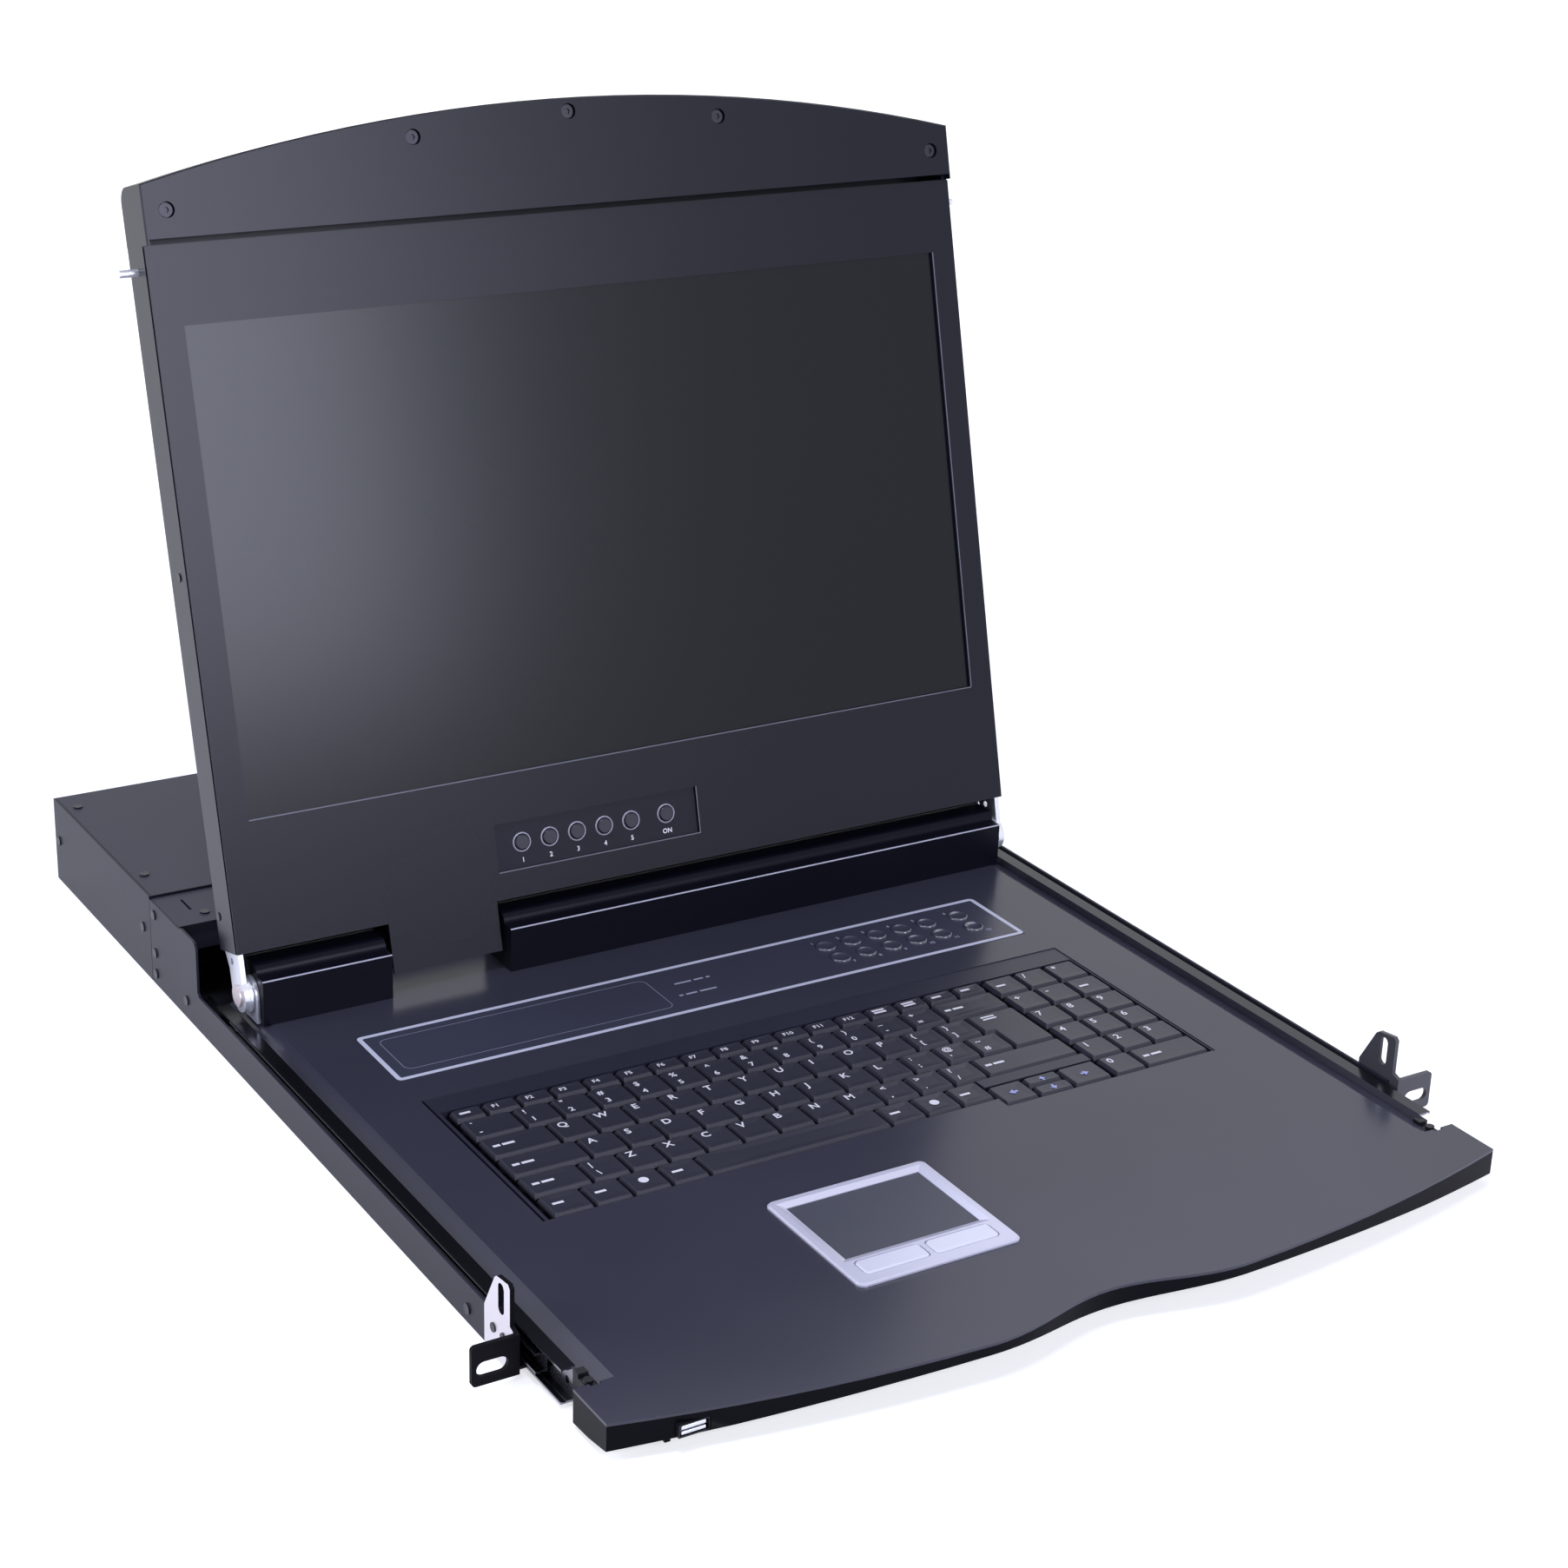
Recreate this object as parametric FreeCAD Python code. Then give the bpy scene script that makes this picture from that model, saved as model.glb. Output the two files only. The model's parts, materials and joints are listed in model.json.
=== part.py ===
import FreeCAD, Part
import math
import os

# Rackmount LCD console drawer, 1U high, 19 inch rack.
# +X is the user's right, +Y runs into the rack, +Z is up.
# x = 0 is the middle of the unit, y = 0 the face of the ears that lies on the rack posts.
# Heights in this script are measured from the chassis floor; save() moves every piece
# down by EAR_SLOT_HEIGHT, which puts the origin midway between the two ear slots.

Vector = FreeCAD.Vector
ORIGIN = Vector(0, 0, 0)
X_AXIS = Vector(1, 0, 0)
Y_AXIS = Vector(0, 1, 0)
Z_AXIS = Vector(0, 0, 1)

# ---------------------------------------------------------------- driving dimensions, mm
CHASSIS_WIDTH = 442.0
EAR_REACH = 20.3              # from the chassis side to the end of each ear
RACK_WIDTH = CHASSIS_WIDTH + 2 * EAR_REACH       # 482.6, a 19 inch front
RACK_HOLE_SPACING = RACK_WIDTH - 17.5            # 465.1, between the rack's two rows of holes
UNIT_HEIGHT = 44.4            # one rack unit less a little
SHEET = 1.2                   # sheet steel
RUNNING_FIT = 0.05            # a pin, stem or ball and its seat, each side
AIR = 0.3                     # least gap between pieces that move past each other
SLIDE_ROOM = 9.2              # between the tray's side and the chassis wall
WALL_INNER = CHASSIS_WIDTH / 2 - SHEET

# tray
TRAY_HALF = WALL_INNER - SLIDE_ROOM
DECK_TOP = 16.8
TRAY_UNDER = 1.8
SLOPE_WIDTH = 9.6             # the deck slopes down over this width at each side
SLOPE_DROP = 3.4
FLAT_HALF = TRAY_HALF - SLOPE_WIDTH
DECK_LOW = DECK_TOP - SHEET

# lengths along the unit, each from the hinge axis or the piece before it
HINGE_Y = 302.0
TRAY_REAR = HINGE_Y + 22.0
WALL_FRONT = 4.0
WALL_RISE_Y = TRAY_REAR + 7.5   # where the low side wall steps up to full height
BRIDGE_FRONT = WALL_RISE_Y + 24.0
STOW_TRAVEL = 36.5            # how far the tray still goes in from the position drawn
SEAM_Y = BRIDGE_FRONT + STOW_TRAVEL   # joint between the side walls and the rear housing
SEAM_GAP = 0.4
HOUSING_DEPTH = 139.5
BACK_Y = SEAM_Y + HOUSING_DEPTH

# chassis heights
LOW_WALL_HEIGHT = 17.5
BRIDGE_TOP = UNIT_HEIGHT - SHEET

# ears
EAR_THICK = 2.0
EAR_SLOT_HEIGHT = 9.2         # slot centre above the chassis floor
EAR_SLOT_HALF_WIDTH = 3.3
EAR_SLOT_LENGTH = 13.4
EAR_FLANGE_LOW = 2.2
EAR_FLANGE_HIGH = 19.8
EAR_TOP = 39.0
EAR_DEPTH = 24.5
EAR_SIDE_SLOT_HEIGHT = 29.6   # middle of the slot that takes the lid's latch pin

# slides
SLIDE_FRONT = -27.5
SLIDE_REAR = TRAY_REAR - 6.0
OUTER_FRONT = 10.0
OUTER_REAR = SEAM_Y - 12.0
BALL_RADIUS = 1.45

# front handle
HANDLE_HALF = TRAY_HALF + 7.6
HANDLE_BACK = -40.0
HANDLE_CORNER = -66.0
HANDLE_NOSE = -89.0           # the two forward swellings
HANDLE_NOSE_X = 66.0
HANDLE_BAY = -78.5            # the hand recess between them
HANDLE_UNDER_BACK = 2.1
HANDLE_UNDER_FRONT = 11.6
NOTCH_WIDTH = 3.6             # the notch that holds each slide stop

# keyboard
KEY_PITCH = 18.33
KEY_GAP = 1.3
KEY_TOP = DECK_TOP - 0.2
KEY_DEPTH = 3.0
KEY_STEM = 4.0
KEY_PLATE_TOP = KEY_TOP - 6.0
KEY_PLATE_THICK = 1.2
KEY_STEM_FOOT = KEY_PLATE_TOP - 1.6
KEYS_LEFT = -166.4
MAIN_RIGHT = 113.9
ROW_FRONT = 74.65             # front of the space bar row
ARROW_FRONT = 66.9            # front of the arrow keys and the number pad
ARROW_LEFT = 54.4
PAD_LEFT = 115.6
PAD_PITCH = 17.9
FUNCTION_DEPTH = 10.9
WELL_LEFT = -172.6
WELL_RIGHT = PAD_LEFT + 3 * PAD_PITCH + 1.1
WELL_BACK = 191.1
WELL_MARGIN = 1.4
SURROUND_GAP = 1.4            # between the well's left edge and the keyboard's surround
SURROUND_RIM = 1.6

# channel select panel
PANEL_LEFT = -173.6
PANEL_RIGHT = 167.4
PANEL_FRONT = 211.7
PANEL_BACK = 259.1
SELECT_X = (69.8, 84.65, 99.5, 114.35, 129.2, 148.3)
SELECT_Y = (229.6, 243.6)
SELECT_RADIUS = 5.2

# touchpad
TOUCH_LEFT = -87.0
TOUCH_RIGHT = -8.4
TOUCH_FRONT = -32.0
TOUCH_BACK = 41.5
TOUCH_TOP = DECK_TOP + 1.6
TOUCH_RIM = 6.6               # width of the bezel's frame
TOUCH_SLOPE = 3.2             # of which the inner part slopes down to the pad

# hinge and lid; distances along the lid start at the hinge axis
HINGE_Z = DECK_TOP + 12.0
LID_LEAN = 14.4               # degrees back from upright
LID_HALF = TRAY_HALF + 2.4
LID_FRONT = -7.6              # face of the bezel, from the hinge axis
LID_BACK = 15.4
LID_FOOT = 20.1               # lower edge of the lid
LID_HEAD = 339.6              # upper edge of the lid body
STRIP_HALF = LID_HALF - 0.5
STRIP_CORNER = LID_HEAD + 26.5
STRIP_PEAK = LID_HEAD + 52.0
STRIP_PROUD = 3.7
STRIP_GROOVE = 2.4            # shadow gap between the strip and the bezel
SCREEN_HALF = LID_HALF - 14.0
SCREEN_FOOT = LID_FOOT + 60.5
SCREEN_HEAD = LID_HEAD - 35.8
TAB_LEFT = -137.8
TAB_RIGHT = -81.6
TAB_FOOT = LID_FOOT - 24.0
OSD_X = (-64.5, -49.6, -34.8, -19.9, -5.1, 14.4)
OSD_UP = LID_FOOT + 25.8
OSD_LEFT = OSD_X[0] - 14.1
OSD_RIGHT = OSD_X[-1] + 17.2
OSD_FOOT = OSD_UP - 12.3
OSD_HEAD = OSD_UP + 10.7
BUTTON_RADIUS = 3.7
LATCH_UP = LID_HEAD - 11.0
LATCH_DEPTH = 4.4
LATCH_RADIUS = 1.8
LATCH_REACH = CHASSIS_WIDTH / 2 + 1.2
COVER_END = LID_HALF - 8.0    # outer end of each hinge cover
COVER_LEFT = (-COVER_END, -140.7)
COVER_RIGHT = (-79.2, COVER_END)
COVER_FRONT = HINGE_Y - 12.5
COVER_BACK = HINGE_Y + 16.0
COVER_SHELF = HINGE_Z + 10.4
COVER_CREST = HINGE_Z + 15.0


# ---------------------------------------------------------------- helpers
def block(x, y, z):
    return Part.makeBox(x[1] - x[0], y[1] - y[0], z[1] - z[0], Vector(x[0], y[0], z[0]))


def prism(points, direction):
    wire = Part.makePolygon(points + points[:1])
    return Part.Face(wire).extrude(direction)


def prism_yz(outline, x):
    return prism([Vector(x[0], y, z) for y, z in outline], Vector(x[1] - x[0], 0, 0))


def prism_xz(outline, y):
    return prism([Vector(x, y[0], z) for x, z in outline], Vector(0, y[1] - y[0], 0))


def prism_xy(outline, z):
    return prism([Vector(x, y, z[0]) for x, y in outline], Vector(0, 0, z[1] - z[0]))


def rod(radius, start, length, axis):
    return Part.makeCylinder(radius, length, start, axis)


def rounded(x, y, z, radius):
    body = block(x, y, z)
    upright = [e for e in body.Edges if abs(e.tangentAt(e.FirstParameter).z) > 0.9]
    return body.makeFillet(radius, upright)


def slot_cut(centre, along, length, half_width, through, depth):
    """A round-ended slot, cut along the direction through."""
    reach = length / 2 - half_width
    side = along.cross(through)
    corners = [centre + along * a * reach + side * b * half_width
               for a, b in ((-1, -1), (1, -1), (1, 1), (-1, 1))]
    cut = prism(corners, through * depth)
    for end in (-1, 1):
        cut = cut.fuse(rod(half_width, centre + along * end * reach, depth, through))
    return cut.removeSplitter()


def mirrored(shape):
    return shape.mirror(ORIGIN, X_AXIS)


def both(shape):
    """The piece and its mirror image across x = 0, as separate solids."""
    return [shape, mirrored(shape)]


def fused(shapes):
    return shapes[0].fuse(shapes[1:]).removeSplitter()


def solids(shapes):
    return Part.makeCompound([s for shape in shapes for s in shape.Solids])


def save(node, shape):
    placed = shape.copy()
    placed.translate(Vector(0, 0, -EAR_SLOT_HEIGHT))
    placed.exportStep("parts/" + node + ".step")


def screw_head(at, outward, radius, height):
    """The head of a screw, seated on the surface at the point at."""
    return rod(radius, at, height, outward)


def hexagon(x, z, radius, y):
    corners = [(x + radius * math.cos(math.radians(60 * i)), z + radius * math.sin(math.radians(60 * i)))
               for i in range(6)]
    return prism_xz(corners, y)


# ---------------------------------------------------------------- chassis
def side_wall_outline():
    corner = 4.0
    rise = [(WALL_RISE_Y + corner * (1 - math.cos(a)), UNIT_HEIGHT - corner * (1 - math.sin(a)))
            for a in (0, math.pi / 6, math.pi / 3, math.pi / 2)]
    return ([(WALL_FRONT, 0), (SEAM_Y, 0), (SEAM_Y, BRIDGE_TOP), (BRIDGE_FRONT - 2.5, BRIDGE_TOP),
             (BRIDGE_FRONT - 4.5, UNIT_HEIGHT)] + rise[::-1]
            + [(WALL_RISE_Y, LOW_WALL_HEIGHT + 2.0), (WALL_RISE_Y - 2.0, LOW_WALL_HEIGHT),
               (WALL_FRONT, LOW_WALL_HEIGHT)])


def chassis_pan():
    half = CHASSIS_WIDTH / 2
    floor = block((-half, half), (WALL_FRONT, SEAM_Y), (0, SHEET))
    wall = prism_yz(side_wall_outline(), (WALL_INNER, half))
    joggle = block((WALL_INNER - SHEET, WALL_INNER), (SEAM_Y - 12, SEAM_Y + 12), (SHEET, UNIT_HEIGHT - 4.4))
    return fused([floor] + both(wall) + both(joggle))


def rear_housing():
    """Floor, side walls and socket panel, folded from one sheet."""
    half = CHASSIS_WIDTH / 2
    run = (SEAM_Y + SEAM_GAP, BACK_Y)
    floor = block((-half, half), run, (0, SHEET))
    wall = block((WALL_INNER, half), run, (0, UNIT_HEIGHT))
    return fused([floor, socket_panel()] + both(wall))


WALL_SCREWS = ((SEAM_Y - 5.5, 37.0), (SEAM_Y - 5.5, 17.0), (SEAM_Y - 5.5, 6.0), (SEAM_Y + 10.4, 24.5),
               (WALL_RISE_Y + 14.5, 9.2), (BACK_Y - 6.0, 22.9), (WALL_FRONT + 39.4, 6.4))
COVER_SCREWS = (SEAM_Y + 26.0, BACK_Y - 17.0)
BRIDGE_SCREW_Y = BRIDGE_FRONT + 10.5
SCREW_RADIUS = 2.4
SCREW_HEAD = 0.7


def rear_cover():
    half = WALL_INNER - 0.2
    top = block((-half, half), (SEAM_Y + 0.6, BACK_Y), (UNIT_HEIGHT - SHEET, UNIT_HEIGHT))
    flange = block((half - SHEET, half), (SEAM_Y + 14, BACK_Y - 4), (UNIT_HEIGHT - 14.4, UNIT_HEIGHT - SHEET))
    return fused([top] + both(flange))


def bridge_plate():
    half = WALL_INNER
    low = BRIDGE_TOP - SHEET
    top = block((-half, half), (BRIDGE_FRONT, SEAM_Y), (low, BRIDGE_TOP))
    front = block((-half, half), (BRIDGE_FRONT, BRIDGE_FRONT + SHEET), (BRIDGE_TOP - 13.2, low))
    side = block((half - SHEET, half), (BRIDGE_FRONT, SEAM_Y - 13), (BRIDGE_TOP - 21.2, low))
    slit = block((half - 12.6, half - 11.4), (BRIDGE_FRONT + 16, BRIDGE_FRONT + 29),
                 (low - 1, BRIDGE_TOP + 1))
    return fused([top, front] + both(side)).cut(both(slit))


PORTS = 8
SUPPLY_ROOM = 119.6           # width kept for the power supply and the margins
PORT_PITCH = (2 * WALL_INNER - SUPPLY_ROOM) / PORTS
PORT_X = [-WALL_INNER + 34.8 + PORT_PITCH * i for i in range(PORTS)]
PORT_Z = 15.0
PORT_BODY_HALF = 5.5
VENTS = 23
VENT_HALF = 1.5
INLET_X = WALL_INNER - 41.8
INLET_Z = 18.0


def socket_panel():
    y = (BACK_Y - SHEET, BACK_Y)
    panel = block((-WALL_INNER, WALL_INNER), y, (SHEET, UNIT_HEIGHT - SHEET))
    cuts = [block((x - 8.8, x + 8.8), (y[0] - 1, y[1] + 1), (PORT_Z - 4.8, PORT_Z + 4.8)) for x in PORT_X]
    cuts.append(block((INLET_X - 13.8, INLET_X + 13.8), (y[0] - 1, y[1] + 1), (INLET_Z - 10, INLET_Z + 10)))
    step = (PORT_X[-1] - PORT_X[0]) / (VENTS - 1)
    for i in range(VENTS):
        x = PORT_X[0] + step * i
        cuts.append(block((x - VENT_HALF, x + VENT_HALF), (y[0] - 1, y[1] + 1), (28, UNIT_HEIGHT - 6.4)))
    return panel.cut(cuts)


def port_socket(x):
    """A fifteen-way D socket: flange inside, shell through the panel, two jack nuts."""
    inside = BACK_Y - SHEET
    flange = block((x - 15.4, x + 15.4), (inside - 1.0, inside), (PORT_Z - 6.2, PORT_Z + 6.2))
    heights = (PORT_Z - PORT_BODY_HALF, PORT_Z + PORT_BODY_HALF)
    body = block((x - 12, x + 12), (inside - 12, inside - 1.0), heights)
    rim = [(x - 8.2, PORT_Z + 4.1), (x + 8.2, PORT_Z + 4.1), (x + 6.8, PORT_Z - 4.1), (x - 6.8, PORT_Z - 4.1)]
    shell = prism_xz(rim, (inside, BACK_Y + 5.0))
    hollow = prism_xz([(x + (a - x) * 0.9, PORT_Z + (b - PORT_Z) * 0.84) for a, b in rim],
                      (BACK_Y + 4.2, BACK_Y + 6.0))
    return fused([flange, body, shell]).cut(hollow)


def port_nuts(x):
    return [hexagon(x + side * 12.5, PORT_Z, 2.7, (BACK_Y, BACK_Y + 3.2)) for side in (-1, 1)]


def power_inlet():
    inside = BACK_Y - SHEET
    flange = block((INLET_X - 15.5, INLET_X + 15.5), (BACK_Y, BACK_Y + 2.0), (INLET_Z - 12, INLET_Z + 12))
    body = block((INLET_X - 13.5, INLET_X + 13.5), (inside - 14, BACK_Y), (INLET_Z - 9.7, INLET_Z + 9.7))
    inlet = flange.fuse(body)
    well = [(-11.5, -6), (-11.5, 5), (-8.5, 7.8), (8.5, 7.8), (11.5, 5), (11.5, -6)]
    inlet = inlet.cut(prism_xz([(INLET_X + a, INLET_Z + b) for a, b in well], (inside - 12, BACK_Y + 3)))
    pins = []
    for across, up in ((-7, -1.5), (0, 2.5), (7, -1.5)):
        x, z = INLET_X + across, INLET_Z + up
        pins.append(block((x - 1, x + 1), (inside - 12.5, BACK_Y - 2), (z - 2, z + 2)))
    return fused([inlet] + pins)


def switch_board():
    """Circuit board of the switch, level with the underside of the socket bodies."""
    top = PORT_Z - PORT_BODY_HALF
    low = top - 1.6
    board = block((PORT_X[0] - 20, PORT_X[-1] + 25), (SEAM_Y + 20, BACK_Y - 12), (low, top))
    posts = [square(x, y, 2.8, (SHEET, low))
             for x in (PORT_X[0] - 13, PORT_X[3], PORT_X[-1] + 17) for y in (SEAM_Y + 28, BACK_Y - 40)]
    chips = [block((x + 11, x + 29), (SEAM_Y + 50, SEAM_Y + 68), (top, top + 2.4)) for x in PORT_X[:-1]]
    return fused([board] + posts + chips)


def power_supply():
    left = WALL_INNER - 79.8
    can = block((left, left + 68), (SEAM_Y + 18, BACK_Y - 24), (SHEET, 34))
    starts = [left + 10 + 8 * i for i in range(7)]
    return can.cut([block((x, x + 4), (SEAM_Y + 30, BACK_Y - 40), (33, 35)) for x in starts])


def chassis_screws():
    """Screw heads on the side walls, the rear cover and the bridge."""
    heads = []
    for sign in (-1, 1):
        out = X_AXIS * sign
        heads += [screw_head(Vector(sign * CHASSIS_WIDTH / 2, y, z), out, SCREW_RADIUS, SCREW_HEAD)
                  for y, z in WALL_SCREWS]
        cover_x = sign * (WALL_INNER - 6.0)
        heads += [screw_head(Vector(cover_x, y, UNIT_HEIGHT), Z_AXIS, SCREW_RADIUS, SCREW_HEAD)
                  for y in COVER_SCREWS]
        heads.append(screw_head(Vector(sign * (WALL_INNER - 16.8), BRIDGE_SCREW_Y, BRIDGE_TOP), Z_AXIS,
                                SCREW_RADIUS, SCREW_HEAD))
    return heads


# ---------------------------------------------------------------- rack ears
def rack_ear():
    inner = CHASSIS_WIDTH / 2
    outline = [(-EAR_THICK, EAR_FLANGE_LOW), (-EAR_THICK, EAR_FLANGE_HIGH), (2.5, EAR_FLANGE_HIGH + 1.5),
               (2.5, EAR_TOP - 1.5), (4.0, EAR_TOP), (13.6, EAR_TOP - 1.2), (15.4, EAR_TOP - 2.6),
               (EAR_DEPTH, EAR_FLANGE_HIGH), (EAR_DEPTH, EAR_FLANGE_LOW)]
    side = prism_yz(outline, (inner, inner + EAR_THICK))
    flange = block((inner, RACK_WIDTH / 2), (-EAR_THICK, 0), (EAR_FLANGE_LOW, EAR_FLANGE_HIGH))
    tips = [e for e in flange.Edges
            if abs(e.tangentAt(e.FirstParameter).y) > 0.9 and e.CenterOfMass.x > inner + 5]
    flange = flange.makeFillet(2.0, tips)
    ear = side.fuse(flange).removeSplitter()
    rack_slot = slot_cut(Vector(RACK_HOLE_SPACING / 2, -EAR_THICK - 1, EAR_SLOT_HEIGHT), X_AXIS,
                         EAR_SLOT_LENGTH, EAR_SLOT_HALF_WIDTH, Y_AXIS, EAR_THICK + 2)
    stowed_pin_y = HINGE_Y - LATCH_UP + STOW_TRAVEL
    side_slot = slot_cut(Vector(inner - 1, stowed_pin_y, EAR_SIDE_SLOT_HEIGHT), Z_AXIS, 13.5,
                         LATCH_RADIUS + 0.7, X_AXIS, EAR_THICK + 2)
    return ear.cut([rack_slot, side_slot])


def ear_screws():
    outer = CHASSIS_WIDTH / 2 + EAR_THICK
    return [screw_head(Vector(outer, y, 13.5), X_AXIS, 2.0, 0.6) for y in (8.0, 16.5)]


# ---------------------------------------------------------------- slides
# Each is a folded strip that opens outwards; x is measured on the right-hand side and
# starts at the tray's side.
INNER_WEB = (TRAY_HALF, TRAY_HALF + 1.0)
INNER_REACH = TRAY_HALF + 6.2
INNER_LIPS = ((2.0, 3.0), (16.4, 17.4))
MIDDLE_WEB = (TRAY_HALF + 2.3, TRAY_HALF + 3.3)
MIDDLE_REACH = TRAY_HALF + 7.4
MIDDLE_LIPS = ((5.2, 6.2), (13.2, 14.2))
OUTER_SKIN = 0.8
OUTER_RIB = (8.4, 11.0)
OUTER_RIB_FACE = TRAY_HALF + 4.1
INNER_RACE_X = TRAY_HALF + 4.6
OUTER_RACE_X = TRAY_HALF + 5.8
INNER_RACE_Z = (4.1, 15.3)
OUTER_RACE_Z = (7.3, 12.1)


def channel(web, lips, reach, y):
    low, high = lips
    parts = [block(web, y, (low[0], high[1]))]
    parts += [block((web[0], reach), y, lip) for lip in lips]
    return fused(parts)


def race_cut(x, z, y):
    return rod(BALL_RADIUS + RUNNING_FIT, Vector(x, y[0] - 1, z), y[1] - y[0] + 2, Y_AXIS)


def slide_inner():
    """The member screwed to the tray's side."""
    y = (SLIDE_FRONT, SLIDE_REAR)
    member = channel(INNER_WEB, INNER_LIPS, INNER_REACH, y)
    member = member.cut([race_cut(INNER_RACE_X, z, y) for z in INNER_RACE_Z])
    spots = [y[0] + 4.7, y[0] + 18.2, y[1] - 13.0]
    return member.cut([rod(1.6, Vector(TRAY_HALF - 1, at, 9.1), 4, X_AXIS) for at in spots])


def slide_middle():
    y = (OUTER_FRONT - 19.0, SLIDE_REAR + 18.0)
    member = channel(MIDDLE_WEB, MIDDLE_LIPS, MIDDLE_REACH, y)
    cuts = [race_cut(INNER_RACE_X, z, y) for z in INNER_RACE_Z]
    cuts += [race_cut(OUTER_RACE_X, z, y) for z in OUTER_RACE_Z]
    return member.cut(cuts)


def slide_outer():
    """The member riveted to the chassis wall; its hollow rib runs inside the middle member."""
    y = (OUTER_FRONT, OUTER_REAR)
    web_x = (WALL_INNER - OUTER_SKIN, WALL_INNER)
    web = block(web_x, y, (4.4, 15.0))
    rib = block((OUTER_RIB_FACE, web_x[0]), y, OUTER_RIB)
    hollow = block((OUTER_RIB_FACE + OUTER_SKIN, web_x[0]), (y[0] - 1, y[1] + 1),
                   (OUTER_RIB[0] + 0.75, OUTER_RIB[1] - 0.75))
    races = [race_cut(OUTER_RACE_X, z, y) for z in OUTER_RACE_Z]
    return web.fuse(rib).cut([hollow] + races).removeSplitter()


BALL_FROM_ENDS = 40.0         # first and last ball of a race, from the ends of the middle member


def ball_spots():
    return (OUTER_FRONT - 19.0 + BALL_FROM_ENDS, SLIDE_REAR + 18.0 - BALL_FROM_ENDS)


def ball(x, y, z):
    """A ball turned about the y axis, with eight flats around it."""
    rings = []
    for reach, along in ((0.55, -0.95), (1.0, -0.38), (1.0, 0.38), (0.55, 0.95)):
        turn = [math.radians(45 * i) for i in range(8)]
        corners = [Vector(x + BALL_RADIUS * reach * math.cos(a), y + BALL_RADIUS * along,
                          z + BALL_RADIUS * reach * math.sin(a)) for a in turn]
        rings.append(Part.makePolygon(corners + corners[:1]))
    return Part.makeLoft(rings, True, True)


def races():
    return ([(INNER_RACE_X, z) for z in INNER_RACE_Z] + [(OUTER_RACE_X, z) for z in OUTER_RACE_Z])


def slide_balls():
    return [ball(x, y, z) for x, z in races() for y in ball_spots()]


def ball_cages():
    """Thin strips that keep the balls apart, one in each race."""
    cages = []
    spots = ball_spots()
    for x, z in races():
        strip = block((x - 1.0, x + 1.0), (spots[0] - 8, spots[-1] + 8), (z - 0.3, z + 0.3))
        pocket = BALL_RADIUS + RUNNING_FIT
        cages.append(strip.cut([square(x, y, pocket, (z - 1, z + 1)) for y in spots]))
    return [piece for cage in cages for piece in cage.Solids]


# ---------------------------------------------------------------- front handle
def handle_plan(z):
    """Plan of the handle: square back corners, two swellings and a bay between them."""
    corner = Vector(HANDLE_HALF, HANDLE_CORNER, z)
    nose = Vector(HANDLE_NOSE_X, HANDLE_NOSE, z)
    middle = Vector((HANDLE_HALF + HANDLE_NOSE_X) / 2 - 8.0, HANDLE_NOSE + 6.4, z)
    bay_depth = HANDLE_BAY - HANDLE_NOSE
    shares = (0.76, 0.53, 0.3, 0.0, -0.3, -0.53, -0.76)
    depth = lambda share: bay_depth * (1 + math.cos(math.pi * share / 0.88)) / 2
    bay = [Vector(share * HANDLE_NOSE_X, HANDLE_NOSE + depth(share), z)
           for share in shares]
    flip = lambda p: Vector(-p.x, p.y, p.z)
    wave = Part.BSplineCurve()
    wave.interpolate([nose] + bay + [flip(nose)])
    back_right = Vector(HANDLE_HALF, HANDLE_BACK, z)
    edges = [Part.LineSegment(flip(back_right), back_right).toShape(),
             Part.LineSegment(back_right, corner).toShape(),
             Part.Arc(corner, middle, nose).toShape(),
             wave.toShape(),
             Part.Arc(flip(nose), flip(middle), flip(corner)).toShape(),
             Part.LineSegment(flip(corner), flip(back_right)).toShape()]
    return Part.Face(Part.Wire(edges))


USB_X = -HANDLE_HALF + 32.2
USB_Z = 9.9
USB_HALF = (6.6, 2.8)
USB_FRONT = -74.4


def front_handle():
    plan = handle_plan(0).extrude(Vector(0, 0, DECK_LOW))
    length = HANDLE_BACK - HANDLE_NOSE
    fall = HANDLE_UNDER_FRONT - HANDLE_UNDER_BACK
    under = [(HANDLE_BACK - share * length, HANDLE_UNDER_BACK + fall * share ** 2)
             for share in (0, 0.25, 0.5, 0.75, 1, 1.15)]
    side = prism_yz(under + [(under[-1][0], DECK_TOP), (HANDLE_BACK, DECK_TOP)],
                    (-HANDLE_HALF - 1, HANDLE_HALF + 1))
    handle = plan.common(side)
    cavity = block((-HANDLE_HALF + 12, HANDLE_HALF - 45), (HANDLE_BACK - 18, HANDLE_BACK + 1),
                   (8.5, DECK_LOW - 2.5))
    wide, high = USB_HALF[0] + 0.1, USB_HALF[1] + 0.1
    usb_way = block((USB_X - wide, USB_X + wide), (HANDLE_NOSE - 1, HANDLE_BACK - 12),
                    (USB_Z - high, USB_Z + high))
    lugs = [block((USB_X + dx - 1.2, USB_X + dx + 1.2), (-69.4, -66.6), (3.4, 8.4)) for dx in (-8.4, 8.4)]
    return fused([handle.cut(cavity)] + lugs).cut(usb_way)


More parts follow.
